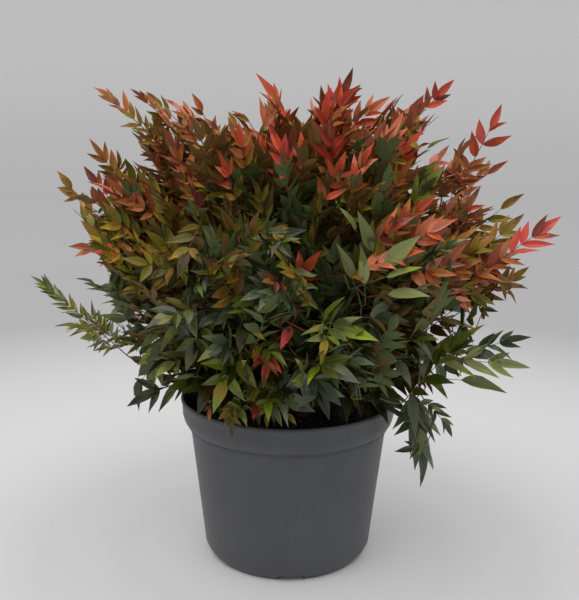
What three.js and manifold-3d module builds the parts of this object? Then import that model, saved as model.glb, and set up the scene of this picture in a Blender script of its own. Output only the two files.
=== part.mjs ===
// Heavenly bamboo (nandina) shrub growing in a plastic nursery pot.
//
// Millimetres, +Z up. The origin is the centre of the pot's flat underside, +X is the
// right-hand side and -Y is the front. Leafy canes rise from the potting mix inside a
// hollow core, boughs leave them sideways, and every limb ends where it enters a mass
// of foliage. Each mass is a pointed, uneven lobe. The plane halfway between two
// masses' centres keeps them apart, so no two solids ever overlap.

import * as THREE from 'three';
import { mergeVertices } from 'three/addons/utils/BufferGeometryUtils.js';
import Module from 'manifold-3d';

const wasm = await Module();
wasm.setup();

// ---------------------------------------------------------------- driving dimensions

const GAP = 0.3; // clearance between two solids that touch in the real plant

// Pot, a 5 litre thermoformed nursery pot.
const POT_HEIGHT = 176;
const RIM_RADIUS = 115;
const RIM_STRAIGHT = 13; // upright part of the rim band, below the lip
const BAND_HEIGHT = 30; // whole rim band, down to its crease
const CREASE_RADIUS = 107.8;
const BAND_BULGE = 0.7; // the band's rounding: share of its width that it has gained
const BAND_RISE = 0.4; // at this share of the height from its crease to its straight part
const BODY_TOP_RADIUS = 105.7;
const BODY_BOTTOM_RADIUS = 90.9;
const FOOT_RADIUS = 82.7;
const FOOT_HEIGHT = 12; // height of the rounded corner above the underside
const WALL_SLOPE = 84; // degrees from level, just less than the slope of the wall
const WALL = 1.8;
const POT_SEGMENTS = 36;

// Arched drain notches in the bottom corner of the pot.
const NOTCH_COUNT = 6;
const NOTCH_WIDTH = 27;
const NOTCH_HEIGHT = 4.2;
const NOTCH_INNER_RADIUS = 74;
const NOTCH_FRONT_ANGLE = -90;
const NOTCH_SIDES = 36; // sides of the whole circle that a notch's arch is part of

// Root ball: potting mix that fills the pot to a little under the rim.
const SOIL_TOP = 159;
const SOIL_EDGE = 155;
const SOIL_FLAT_RADIUS = 62;

// Crown. Directions and reaches are measured from this point over the potting mix.
const CROWN_FOOT = new THREE.Vector3(0, 0, 190);
const MASS_SEGMENTS = 12; // round each mass
const MASS_BANDS = 8; // from the tip of each mass to its foot
const MASS_GAP = 0.5; // between two masses
const OPEN_SKY = 1000; // ceiling of a mass that nothing limits from above
const TIP_POWER = 1.45; // 1 makes the tip end of a mass a cone, 2 an ellipsoid
const FOOT_POWER = 2;
const SIDE_TIP_BAND = 3; // band of a mass, counted from its tip, where side tips stand out
const SIDE_TIP_SPACING = 3; // segments from one side tip to the next
const SIDE_TIP_SWELL = 1.32;
const UNEVENNESS = 0.15;
const WAVES = [ // swellings round a mass; the phase differs from one mass to the next
  { count: 3, share: 1, phaseStep: 1.7 },
  { count: 5, share: 0.6, phaseStep: 2.9 },
];

// Rings of foliage masses, from the rim upwards. Angles are in degrees; reach is to
// the outermost tip on the right, on the left, and towards the front and back.
const RINGS = [
  {
    name: 'skirt', count: 5, turn: 40, centreElevation: 9, tipElevation: -3,
    right: 185, left: 180, depth: 165, centre: 0.72, width: 72, foot: 70, core: 60,
    ceiling: 224, color: 0x39513f,
  },
  {
    name: 'low', count: 7, turn: 26, centreElevation: 28, tipElevation: 25,
    right: 266, left: 242, depth: 246, centre: 0.64, width: 58, foot: 92, core: 60,
    color: 0x42593a,
  },
  {
    name: 'middle', count: 7, turn: 0, centreElevation: 46, tipElevation: 42,
    right: 320, left: 330, depth: 292, centre: 0.64, width: 76, foot: 100, core: 56,
    color: 0x6b6a35,
  },
  {
    name: 'shoulder', count: 6, turn: 0, centreElevation: 64, tipElevation: 62,
    right: 356, left: 346, depth: 318, centre: 0.64, width: 78, foot: 88, core: 24,
    color: 0x9a4a2f,
  },
  {
    name: 'top', count: 3, turn: 12, centreElevation: 82, tipElevation: 79,
    right: 334, left: 332, depth: 318, centre: 0.68, width: 62, foot: 84, core: null,
    color: 0xb4482f,
  },
];

// Single sprays that stand out of the crown, each pointing its own way.
const SPRAYS = [
  {
    name: 'far_left', azimuth: 185, centreElevation: 20, tipElevation: 24,
    reach: 292, centre: 0.83, width: 21, foot: 68, color: 0x5f7038,
  },
  {
    name: 'top_left', azimuth: 184, centreElevation: 57, tipElevation: 57.5,
    reach: 366, centre: 0.89, width: 16, foot: 48, color: 0x7a3a26,
  },
  {
    name: 'right_shoot', azimuth: -9, centreElevation: 34, tipElevation: 34,
    reach: 330, centre: 0.87, width: 25, foot: 56, color: 0xa8412f,
  },
  {
    name: 'top_right', azimuth: 6, centreElevation: 50, tipElevation: 53,
    reach: 368, centre: 0.88, width: 22, foot: 54, color: 0xb0472f,
  },
  {
    name: 'lower_right', azimuth: -10, centreElevation: 10, tipElevation: 10,
    reach: 270, centre: 0.78, width: 29, foot: 62, color: 0x4d6a4c,
  },
  {
    name: 'hanging_right', azimuth: -22, centreElevation: -11, tipElevation: -33,
    reach: 188, centre: 0.82, width: 27, foot: 46, color: 0x44604a,
  },
  {
    name: 'hanging_left', azimuth: 197, centreElevation: 0, tipElevation: -8,
    reach: 173, centre: 0.9, width: 18, foot: 32, color: 0x4a5f39,
  },
];

// Limbs. A limb tapers from its foot to its tip, and a cane also flares at the ground.
const CANE_FOOT_RADIUS = 4.6;
const CANE_TIP_RADIUS = 2.7;
const CANE_FLARE = 1.7;
const CANE_FLARE_HEIGHT = 14;
const CANE_FLARE_FADE = 2; // how fast the flare dies away over its height
const OUTER_CANE_RING = 30; // distance of the outer canes' feet from the centre
const INNER_CANE_RING = 11;
const CANE_LEAN = 41; // distance from the centre where an outer cane turns outwards
const CANE_TURN_HEIGHT = 292;
const BOUGH_FOOT_RADIUS = 2.9;
const BOUGH_TIP_RADIUS = 1.8;
const BOUGH_RISE = 5; // how far a bough arches over the straight line to its mass
const BOUGH_SPREAD = 0.14; // share of a cane's length over which its ring's boughs leave
const BOUGH_STRIDE = 3; // places between two boughs that leave at neighbouring heights
const BOUGH_CLEAR_SHARE = 0.25; // share of a bough's length that is clear of both its ends
const BOUGH_FIRST_SHARES = { low: 0.3, middle: 0.46 }; // where each ring's lowest leaves
const LIMB_SIDES = 6;
const CANE_STEPS = 7;
const BOUGH_STEPS = 4;

// ---------------------------------------------------------------- colours

const plastic = new THREE.MeshStandardMaterial({ color: 0x4d4f52, roughness: 0.62, metalness: 0 });
const pottingMix = new THREE.MeshStandardMaterial({ color: 0x2b211b, roughness: 0.95, metalness: 0 });
const caneBark = new THREE.MeshStandardMaterial({ color: 0x6d5340, roughness: 0.85, metalness: 0 });
const boughBark = new THREE.MeshStandardMaterial({ color: 0x7c3f36, roughness: 0.75, metalness: 0 });

function foliageMaterial(color) {
  return new THREE.MeshStandardMaterial({ color, roughness: 0.7, metalness: 0 });
}

// ---------------------------------------------------------------- small helpers

const radians = THREE.MathUtils.degToRad;
const UP = new THREE.Vector3(0, 0, 1);

// Unit vector at an azimuth from +X and an elevation over the horizon, in degrees.
function heading(azimuth, elevation) {
  const level = Math.cos(radians(elevation));
  return new THREE.Vector3(
    level * Math.cos(radians(azimuth)),
    level * Math.sin(radians(azimuth)),
    Math.sin(radians(elevation)),
  );
}

// Point of the crown at a heading and a distance from its foot.
function crownPoint(azimuth, elevation, distance) {
  return heading(azimuth, elevation).multiplyScalar(distance).add(CROWN_FOOT);
}

// Copy of a geometry that holds only positions, with its shared vertices merged.
function weld(geometry) {
  const bare = geometry.clone();
  bare.deleteAttribute('normal');
  bare.deleteAttribute('uv');
  return mergeVertices(bare, 1e-4);
}

function toSolid(geometry) {
  const welded = weld(geometry);
  return new wasm.Manifold(new wasm.Mesh({
    numProp: 3,
    vertProperties: new Float32Array(welded.attributes.position.array),
    triVerts: new Uint32Array(welded.index.array),
  }));
}

function toGeometry(solid) {
  const mesh = solid.getMesh();
  const geometry = new THREE.BufferGeometry();
  geometry.setAttribute('position', new THREE.BufferAttribute(mesh.vertProperties, 3));
  geometry.setIndex(new THREE.BufferAttribute(mesh.triVerts, 1));
  geometry.computeVertexNormals();
  return geometry;
}

function namedMesh(name, geometry, material) {
  const mesh = new THREE.Mesh(geometry, material);
  mesh.name = name;
  return mesh;
}

// ---------------------------------------------------------------- pot and root ball

// A lathe turns about +Y, so its result is stood upright.
function turned(profile) {
  const points = profile.map(([radius, height]) => new THREE.Vector2(radius, height));
  return new THREE.LatheGeometry(points, POT_SEGMENTS).rotateX(Math.PI / 2);
}

const CREASE_HEIGHT = POT_HEIGHT - BAND_HEIGHT;
const STRAIGHT_HEIGHT = POT_HEIGHT - RIM_STRAIGHT;
const BAND_SHOULDER_RADIUS = THREE.MathUtils.lerp(CREASE_RADIUS, RIM_RADIUS, BAND_BULGE);
const BAND_SHOULDER_HEIGHT = THREE.MathUtils.lerp(CREASE_HEIGHT, STRAIGHT_HEIGHT, BAND_RISE);

// Outside of the pot, from the edge of its underside up to its lip.
const OUTER_PROFILE = [
  [FOOT_RADIUS, 0],
  [BODY_BOTTOM_RADIUS, FOOT_HEIGHT],
  [BODY_TOP_RADIUS, CREASE_HEIGHT - WALL],
  [CREASE_RADIUS, CREASE_HEIGHT],
  [BAND_SHOULDER_RADIUS, BAND_SHOULDER_HEIGHT],
  [RIM_RADIUS, STRAIGHT_HEIGHT],
  [RIM_RADIUS, POT_HEIGHT],
];

// Inside of the pot, a wall's thickness in from the outside, from the lip down.
const INNER_PROFILE = [
  [RIM_RADIUS - WALL, POT_HEIGHT],
  [RIM_RADIUS - WALL, STRAIGHT_HEIGHT],
  [BAND_SHOULDER_RADIUS - WALL, BAND_SHOULDER_HEIGHT],
  [BODY_TOP_RADIUS - WALL, CREASE_HEIGHT],
  [BODY_BOTTOM_RADIUS - WALL, FOOT_HEIGHT + WALL],
  [FOOT_RADIUS - WALL, WALL],
];

// Radius of the pot's inside at a height.
function innerRadius(height) {
  const upper = INNER_PROFILE.findLastIndex(([, level]) => level >= height);
  const [topRadius, topHeight] = INNER_PROFILE[upper];
  const [bottomRadius, bottomHeight] = INNER_PROFILE[upper + 1];
  const share = (height - bottomHeight) / (topHeight - bottomHeight);
  return THREE.MathUtils.lerp(bottomRadius, topRadius, share);
}

// Lying cylinder whose top stands a notch's height over the underside.
function notchTool(angle) {
  const radius = (NOTCH_WIDTH ** 2 / 4 + NOTCH_HEIGHT ** 2) / (2 * NOTCH_HEIGHT);
  const length = RIM_RADIUS - NOTCH_INNER_RADIUS;
  return new THREE.CylinderGeometry(radius, radius, length, NOTCH_SIDES)
    .rotateZ(Math.PI / 2)
    .translate(NOTCH_INNER_RADIUS + length / 2, 0, NOTCH_HEIGHT - radius)
    .rotateZ(radians(angle));
}

function potGeometry() {
  const profile = [[0, 0], ...OUTER_PROFILE, ...INNER_PROFILE, [0, WALL]];
  let pot = toSolid(turned(profile));
  for (let notch = 0; notch < NOTCH_COUNT; notch += 1) {
    const angle = NOTCH_FRONT_ANGLE + (360 * notch) / NOTCH_COUNT;
    pot = pot.subtract(toSolid(notchTool(angle)));
  }
  return toGeometry(pot);
}

function rootBallGeometry() {
  const corner = FOOT_HEIGHT + WALL;
  return turned([
    [0, WALL + GAP],
    [innerRadius(WALL + GAP) - 2 * GAP, WALL + GAP],
    [innerRadius(corner) - GAP, corner],
    [innerRadius(CREASE_HEIGHT) - GAP, CREASE_HEIGHT],
    [innerRadius(SOIL_EDGE) - 2 * GAP, SOIL_EDGE],
    [SOIL_FLAT_RADIUS, SOIL_TOP],
    [0, SOIL_TOP],
  ]);
}

// ---------------------------------------------------------------- foliage masses

// Reach of a ring in one direction, between its right, left and depth reaches.
function ringReach(ring, azimuth) {
  const across = Math.cos(radians(azimuth));
  const side = across > 0 ? ring.right : ring.left;
  return THREE.MathUtils.lerp(ring.depth, side, across ** 2);
}

function ringMasses(ring) {
  const masses = [];
  for (let place = 0; place < ring.count; place += 1) {
    const azimuth = ring.turn + (360 * place) / ring.count;
    const reach = ringReach(ring, azimuth);
    masses.push({
      name: `foliage_${ring.name}_${place + 1}`,
      azimuth,
      tip: crownPoint(azimuth, ring.tipElevation, reach),
      centre: crownPoint(azimuth, ring.centreElevation, ring.centre * reach),
      width: ring.width,
      foot: ring.foot,
      core: ring.core,
      ceiling: ring.ceiling ?? OPEN_SKY,
      color: ring.color,
    });
  }
  return masses;
}

function sprayMass(spray) {
  return {
    name: `foliage_spray_${spray.name}`,
    azimuth: spray.azimuth,
    tip: crownPoint(spray.azimuth, spray.tipElevation, spray.reach),
    centre: crownPoint(spray.azimuth, spray.centreElevation, spray.centre * spray.reach),
    width: spray.width,
    foot: spray.foot,
    core: null,
    ceiling: OPEN_SKY,
    color: spray.color,
  };
}

const MASSES = [...RINGS.flatMap(ringMasses), ...SPRAYS.map(sprayMass)];

// Planes that bound a mass, each with its normal pointing away from the mass's centre.
function boundingPlanes(mass) {
  const planes = [new THREE.Plane(UP.clone(), -mass.ceiling), rimPlane(mass)];
  const outwards = heading(mass.azimuth, 0);
  if (mass.core !== null) {
    const inwards = outwards.clone().negate();
    planes.push(new THREE.Plane(inwards, mass.core));
  }
  for (const other of MASSES) {
    if (other === mass) continue;
    const between = other.centre.clone().sub(mass.centre);
    const share = mass.width / (mass.width + other.width);
    const point = mass.centre.clone().addScaledVector(between, share);
    const normal = between.normalize();
    point.addScaledVector(normal, -MASS_GAP / 2);
    planes.push(new THREE.Plane().setFromNormalAndCoplanarPoint(normal, point));
  }
  return planes;
}

// Sloping plane that keeps a mass clear of the pot: over the lip, or outside the wall.
function rimPlane(mass) {
  const outwards = heading(mass.azimuth, 0);
  const lip = outwards.clone().multiplyScalar(RIM_RADIUS).addScaledVector(UP, POT_HEIGHT);
  const away = mass.centre.clone().sub(lip);
  const across = away.dot(outwards);
  const slope = THREE.MathUtils.clamp(Math.atan2(across, away.z), 0, radians(WALL_SLOPE));
  const normal = outwards.multiplyScalar(-Math.sin(slope)).addScaledVector(UP, -Math.cos(slope));
  lip.addScaledVector(normal, -2 * GAP);
  return new THREE.Plane().setFromNormalAndCoplanarPoint(normal, lip);
}

// Distance from a mass's centre to its surface in a direction: its angles from the tip
// and round the axis, and the band and segment of the vertex that lies there.
function lobeRadius(mass, number, lift, turn, band, segment) {
  const tipLength = mass.tip.distanceTo(mass.centre);
  const along = Math.cos(lift);
  const aside = Math.sin(lift);
  let swelling = 0;
  for (const wave of WAVES) {
    swelling += wave.share * Math.sin(wave.count * turn + wave.phaseStep * number + lift);
  }
  let width = mass.width * (1 + UNEVENNESS * swelling);
  const isSideTip = band === SIDE_TIP_BAND && (segment + number) % SIDE_TIP_SPACING === 0;
  if (isSideTip) width *= SIDE_TIP_SWELL;
  const length = along > 0 ? tipLength : mass.foot;
  const power = along > 0 ? TIP_POWER : FOOT_POWER;
  const sum = (Math.abs(along) / length) ** power + (aside / width) ** power;
  return sum ** (-1 / power);
}

// Closed lobe about the mass's centre, its pole at the tip, cut back by its planes.
function massGeometry(mass, number, growth = 0) {
  const geometry = weld(new THREE.SphereGeometry(1, MASS_SEGMENTS, MASS_BANDS).rotateX(Math.PI / 2));
  const axis = mass.tip.clone().sub(mass.centre).normalize();
  const toAxis = new THREE.Quaternion().setFromUnitVectors(UP, axis);
  const planes = boundingPlanes(mass);
  const position = geometry.attributes.position;
  const vertex = new THREE.Vector3();
  for (let index = 0; index < position.count; index += 1) {
    vertex.fromBufferAttribute(position, index).normalize();
    const lift = Math.acos(THREE.MathUtils.clamp(vertex.z, -1, 1));
    const turn = Math.atan2(vertex.y, vertex.x);
    const band = Math.round((lift / Math.PI) * MASS_BANDS);
    const segment = Math.round(((turn + Math.PI) / (2 * Math.PI)) * MASS_SEGMENTS) % MASS_SEGMENTS;
    let radius = lobeRadius(mass, number, lift, turn, band, segment);
    vertex.applyQuaternion(toAxis);
    for (const plane of planes) {
      const facing = vertex.dot(plane.normal);
      const distance = -plane.distanceToPoint(mass.centre);
      if (facing > 0) radius = Math.min(radius, distance / facing);
    }
    vertex.multiplyScalar(radius + growth).add(mass.centre);
    position.setXYZ(index, vertex.x, vertex.y, vertex.z);
  }
  geometry.computeVertexNormals();
  return geometry;
}

// ---------------------------------------------------------------- canes and boughs

// Tapering limb along a curve: a capped cylinder bent to the curve, ring by ring.
function limbGeometry(limb, growth = 0) {
  const { curve, steps } = limb;
  const frames = curve.computeFrenetFrames(steps, false);
  const geometry = weld(new THREE.CylinderGeometry(1, 1, steps, LIMB_SIDES, steps));
  const position = geometry.attributes.position;
  const vertex = new THREE.Vector3();
  for (let index = 0; index < position.count; index += 1) {
    vertex.fromBufferAttribute(position, index);
    const step = Math.round(vertex.y + steps / 2);
    const share = step / steps;
    const radius = limb.radiusAt(share) + growth;
    const side = new THREE.Vector3().crossVectors(frames.normals[step], frames.tangents[step]);
    const place = curve.getPointAt(share)
      .addScaledVector(frames.normals[step], vertex.x * radius)
      .addScaledVector(side, vertex.z * radius);
    position.setXYZ(index, place.x, place.y, place.z);
  }
  geometry.computeVertexNormals();
  return geometry;
}

// A cane rises from the potting mix inside the core, then leans out into its mass.
function makeCane(mass, footRing, leanRing) {
  const outwards = heading(mass.azimuth, 0);
  const foot = outwards.clone().multiplyScalar(footRing).setZ(SOIL_TOP - CANE_FLARE_HEIGHT / 2);
  const flareTop = foot.clone().setZ(SOIL_TOP + CANE_FLARE_HEIGHT);
  const turn = outwards.clone().multiplyScalar(leanRing).setZ(CANE_TURN_HEIGHT);
  const curve = new THREE.CatmullRomCurve3([foot, flareTop, turn, mass.centre]);
  const length = curve.getLength();
  const radiusAt = (share) => {
    const above = share * length - CANE_FLARE_HEIGHT / 2;
    const fade = Math.exp((-CANE_FLARE_FADE * Math.max(above, 0)) / CANE_FLARE_HEIGHT);
    const flare = 1 + (CANE_FLARE - 1) * fade;
    return THREE.MathUtils.lerp(CANE_FOOT_RADIUS, CANE_TIP_RADIUS, share) * flare;
  };
  return { mass, curve, radiusAt, steps: CANE_STEPS };
}

// A bough leaves the nearest outer cane, rises a little and arches out into its mass.
// Neighbouring boughs leave at different heights, so two on one cane never meet.
function makeBough(mass, cane, place, count, firstShare) {
  const share = firstShare + (BOUGH_SPREAD * ((BOUGH_STRIDE * place) % count)) / count;
  const start = cane.curve.getPointAt(share);
  const middle = start.clone().lerp(mass.centre, 0.5).addScaledVector(UP, BOUGH_RISE);
  const curve = new THREE.QuadraticBezierCurve3(start, middle, mass.centre);
  const radiusAt = (along) => THREE.MathUtils.lerp(BOUGH_FOOT_RADIUS, BOUGH_TIP_RADIUS, along);
  return { mass, curve, radiusAt, steps: BOUGH_STEPS };
}

function nearestCane(mass, canes) {
  const byAngle = (cane) => heading(mass.azimuth, 0).dot(heading(cane.mass.azimuth, 0));
  return canes.reduce((best, cane) => (byAngle(cane) > byAngle(best) ? cane : best));
}

// The piece of a cut solid that reaches nearest to a point.
function pieceNearest(solid, point) {
  let best = null;
  let bestDistance = Infinity;
  for (const piece of solid.decompose()) {
    const { min, max } = piece.boundingBox();
    const box = new THREE.Box3(new THREE.Vector3(...min), new THREE.Vector3(...max));
    const distance = box.distanceToPoint(point);
    if (distance < bestDistance) {
      best = piece;
      bestDistance = distance;
    }
  }
  return best;
}

function grownMass(mass) {
  return toSolid(massGeometry(mass, MASSES.indexOf(mass), GAP));
}

// Slab under the potting mix's surface, which gives each cane its flat cut.
const groundTool = toSolid(
  new THREE.BoxGeometry(2 * RIM_RADIUS, 2 * RIM_RADIUS, 2 * CANE_FLARE_HEIGHT)
    .translate(0, 0, SOIL_TOP + GAP - CANE_FLARE_HEIGHT),
);

// ---------------------------------------------------------------- the whole plant

const group = new THREE.Group();
group.add(namedMesh('pot', potGeometry(), plastic));
group.add(namedMesh('root_ball', rootBallGeometry(), pottingMix));

const massesOf = (name) => MASSES.filter((mass) => mass.name.startsWith(`foliage_${name}`));
const outerCanes = massesOf('shoulder').map((mass) => makeCane(mass, OUTER_CANE_RING, CANE_LEAN));
const innerCanes = massesOf('top').map((mass) => makeCane(mass, INNER_CANE_RING, INNER_CANE_RING));

[...outerCanes, ...innerCanes].forEach((cane, index) => {
  const cut = toSolid(limbGeometry(cane)).subtract(groundTool).subtract(grownMass(cane.mass));
  const piece = pieceNearest(cut, cane.curve.getPointAt(0));
  group.add(namedMesh(`cane_${index + 1}`, toGeometry(piece), caneBark));
});

for (const [ring, firstShare] of Object.entries(BOUGH_FIRST_SHARES)) {
  const masses = massesOf(ring);
  masses.forEach((mass, place) => {
    const cane = nearestCane(mass, outerCanes);
    const bough = makeBough(mass, cane, place, masses.length, firstShare);
    const cut = toSolid(limbGeometry(bough))
      .subtract(toSolid(limbGeometry(cane, GAP)))
      .subtract(grownMass(mass));
    const piece = pieceNearest(cut, bough.curve.getPointAt(BOUGH_CLEAR_SHARE));
    group.add(namedMesh(`bough_${ring}_${place + 1}`, toGeometry(piece), boughBark));
  });
}

MASSES.forEach((mass, number) => {
  group.add(namedMesh(mass.name, massGeometry(mass, number), foliageMaterial(mass.color)));
});

export default group;
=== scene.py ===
"""Looks of a heavenly bamboo in its nursery pot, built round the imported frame.

The pot and the potting mix are shaped with Blender's operators. Stems, stalks and leaflets grow on from
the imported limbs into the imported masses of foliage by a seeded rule. Lengths are in metres.
"""

import logging
import math
from collections.abc import Sequence
from dataclasses import dataclass, field, replace
from enum import Enum
from functools import cache
from typing import Any

import bpy
import numpy as np
from mathutils import Matrix, Vector, noise
from mathutils.bvhtree import BVHTree


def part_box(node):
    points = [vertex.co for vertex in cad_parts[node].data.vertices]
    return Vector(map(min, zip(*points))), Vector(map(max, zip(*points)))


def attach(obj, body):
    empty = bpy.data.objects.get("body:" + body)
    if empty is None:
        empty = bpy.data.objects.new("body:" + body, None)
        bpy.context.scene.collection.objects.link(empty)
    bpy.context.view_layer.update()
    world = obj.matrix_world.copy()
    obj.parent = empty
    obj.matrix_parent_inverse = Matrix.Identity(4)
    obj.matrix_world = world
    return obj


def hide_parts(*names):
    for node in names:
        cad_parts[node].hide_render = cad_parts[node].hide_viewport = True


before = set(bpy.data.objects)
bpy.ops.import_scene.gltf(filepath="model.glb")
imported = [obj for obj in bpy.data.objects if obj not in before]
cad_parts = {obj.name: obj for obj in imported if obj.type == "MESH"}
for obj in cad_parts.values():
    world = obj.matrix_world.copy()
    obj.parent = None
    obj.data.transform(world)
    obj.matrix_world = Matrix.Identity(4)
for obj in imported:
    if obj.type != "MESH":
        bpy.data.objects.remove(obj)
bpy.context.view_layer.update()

MM = 0.001
BODY = "root"
Array = np.ndarray
Colour = tuple[int, int, int]  # 8-bit display colour
Socket = bpy.types.NodeSocket
Material = bpy.types.Material
Piece = bpy.types.Object
Rings = list[tuple[float, float]]  # height and radius, or radius and height, of each ring

log = logging.getLogger("heavenly_bamboo")


# ---- small helpers


def unit(vectors: Array) -> Array:
    """Vectors at length 1, along the last axis."""
    return vectors / np.maximum(np.linalg.norm(vectors, axis=-1, keepdims=True), 1e-12)


def mix(start: Array | float, end: Array | float, share: Array | float) -> Array | float:
    """Value a share of the way from start to end."""
    return start + (end - start) * share


def smooth_step(low: float, high: float, value: float) -> float:
    """Share from 0 to 1 that rises smoothly as the value passes from low to high."""
    share = min(1.0, max(0.0, (value - low) / (high - low)))
    return share * share * (3 - 2 * share)


def across(vector: Array, axis: Array) -> Array:
    """Part of a vector that is square to an axis, at length 1."""
    return unit(vector - axis * (vector * axis).sum(-1, keepdims=True))


def bezier(controls: list[Array], count: int) -> Array:
    """Points along a Bezier curve.

    Args:
        controls: Three or four control points.
        count: Number of points, ends included.

    Returns:
        The points, one row each.
    """
    share = np.linspace(0.0, 1.0, count)[:, None]
    points = [np.asarray(point, float) for point in controls]
    while len(points) > 1:
        points = [mix(a, b, share) for a, b in zip(points[:-1], points[1:])]
    return points[0]


def linear_colour(colour: Colour, gain: float = 1.0) -> tuple[float, ...]:
    """Scene-linear colour of an 8-bit display colour.

    Args:
        colour: Red, green and blue.
        gain: Factor on the linear colour.

    Returns:
        Red, green, blue and an alpha of 1.
    """
    channels = []
    for value in colour:
        share = value / 255
        light = share / 12.92 if share <= 0.04045 else ((share + 0.055) / 1.055) ** 2.4
        channels.append(min(1.0, light * gain))
    return (*channels, 1.0)


@dataclass(frozen=True)
class Slope:
    """Value that changes smoothly along an axis, between two places on it in mm."""

    low: float
    high: float
    start: float
    end: float

    def at(self, place: float) -> float:
        """Value at a place on the axis, in metres."""
        return mix(self.start, self.end, smooth_step(self.low * MM, self.high * MM, place))


class Course:
    """Line that is read by the distance from its start."""

    def __init__(self, line: Array) -> None:
        """Measures how far from the start each point of the line is."""
        steps = np.linalg.norm(np.diff(line, axis=0), axis=1)
        self.line = line
        self.travelled = np.concatenate([[0.0], np.cumsum(steps)])
        self.length = float(self.travelled[-1])

    def at(self, distances: Array) -> Array:
        """Points at distances from the start, one row each."""
        return np.stack([np.interp(distances, self.travelled, self.line[:, k]) for k in range(3)], 1)

    def reading(self, distance: float) -> tuple[Array, Array]:
        """Point at a distance from the start, and the line's direction there."""
        near, far = self.at(np.array([distance, distance + MM]))
        return near, unit(far - near)


def drawn(rng: np.random.Generator, choices: Sequence, weights: Array) -> Any:
    """One of the choices, drawn by weight."""
    return choices[int(rng.choice(len(choices), p=weights / weights.sum()))]


# ---- finishes


class NodeTree:
    """Nodes of a material or a world, built one at a time."""

    def __init__(self, owner: Material | bpy.types.World) -> None:
        """Opens the owner's nodes."""
        self.nodes = owner.node_tree.nodes
        self.links = owner.node_tree.links

    def node(self, kind: str, values: dict | None = None, **settings) -> bpy.types.Node:
        """Adds a node.

        Args:
            kind: Blender's name of the node's type.
            values: Values of the node's own input sockets, by name.
            **settings: Attributes of the node.

        Returns:
            The node.
        """
        made = self.nodes.new(kind)
        for name, value in settings.items():
            setattr(made, name, value)
        for name, value in (values or {}).items():
            made.inputs[name].default_value = value
        return made

    def link(self, source: Socket, target: Socket) -> None:
        """Joins an output to an input."""
        self.links.new(source, target)


class Shader(NodeTree):
    """Nodes of one new material, round its Principled shader."""

    def __init__(self, name: str) -> None:
        """Makes an empty material with that name."""
        self.material = bpy.data.materials.new(name)
        self.material.use_nodes = True
        super().__init__(self.material)
        self.surface = self.nodes["Principled BSDF"]

    def place(self, scale: tuple[float, float, float] = (1, 1, 1)) -> Socket:
        """Object coordinates, stretched by a scale."""
        coordinates = self.node("ShaderNodeTexCoord")
        mapping = self.node("ShaderNodeMapping", {"Scale": scale})
        self.link(coordinates.outputs["Object"], mapping.inputs["Vector"])
        return mapping.outputs["Vector"]

    def noise(self, place: Socket, scale: float, detail: float = 4.0, rough: float = 0.55) -> Socket:
        """Fractal noise over a place, from 0 to 1.

        Args:
            place: Coordinates.
            scale: Cells per metre.
            detail: Octaves.
            rough: Share that each finer octave keeps.

        Returns:
            The noise's value.
        """
        made = self.node("ShaderNodeTexNoise", {"Scale": scale, "Detail": detail, "Roughness": rough})
        self.link(place, made.inputs["Vector"])
        return made.outputs["Fac"]

    def span(self, value: Socket, given: tuple[float, float], wanted: tuple[float, float]) -> Socket:
        """Value moved from one range to another, and kept inside it."""
        names = ("From Min", "From Max", "To Min", "To Max")
        made = self.node("ShaderNodeMapRange", dict(zip(names, given + wanted)))
        self.link(value, made.inputs["Value"])
        return made.outputs["Result"]

    def math(self, operation: str, first: Socket, second: Socket | float = 0.0) -> Socket:
        """Result of a maths node on two values."""
        made = self.node("ShaderNodeMath", operation=operation)
        self.link(first, made.inputs[0])
        if isinstance(second, (int, float)):
            made.inputs[1].default_value = second
        else:
            self.link(second, made.inputs[1])
        return made.outputs[0]

    def ramp(self, value: Socket, stops: list[tuple[float, Colour]]) -> Socket:
        """Colour that runs through stops, each a place from 0 to 1 and an 8-bit display colour."""
        made = self.node("ShaderNodeValToRGB")
        elements = made.color_ramp.elements
        while len(elements) < len(stops):
            elements.new(0.5)
        for element, (place, colour) in zip(elements, stops):
            element.position = place
            element.color = linear_colour(colour)
        self.link(value, made.inputs["Fac"])
        return made.outputs["Color"]

    def relief(self, height: Socket, depth: float, strength: float = 1.0) -> None:
        """Bumps the surface by a height, whose full range stands for a depth in metres."""
        bump = self.node("ShaderNodeBump", {"Strength": strength, "Distance": depth})
        self.link(height, bump.inputs["Height"])
        self.link(bump.outputs["Normal"], self.surface.inputs["Normal"])

    def roughness(self, value: Socket, gloss: tuple[float, float]) -> None:
        """Roughness that runs between two limits with the middle part of a noise."""
        self.link(self.span(value, (0.3, 0.7), gloss), self.surface.inputs["Roughness"])

    def colour(self, value: Socket) -> None:
        """Base colour from a socket."""
        self.link(value, self.surface.inputs["Base Color"])

    def plain(self, colour: Colour, gain: float = 1.0) -> None:
        """Base colour that is the same all over: an 8-bit display colour and a factor on its light."""
        self.surface.inputs["Base Color"].default_value = linear_colour(colour, gain)


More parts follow.
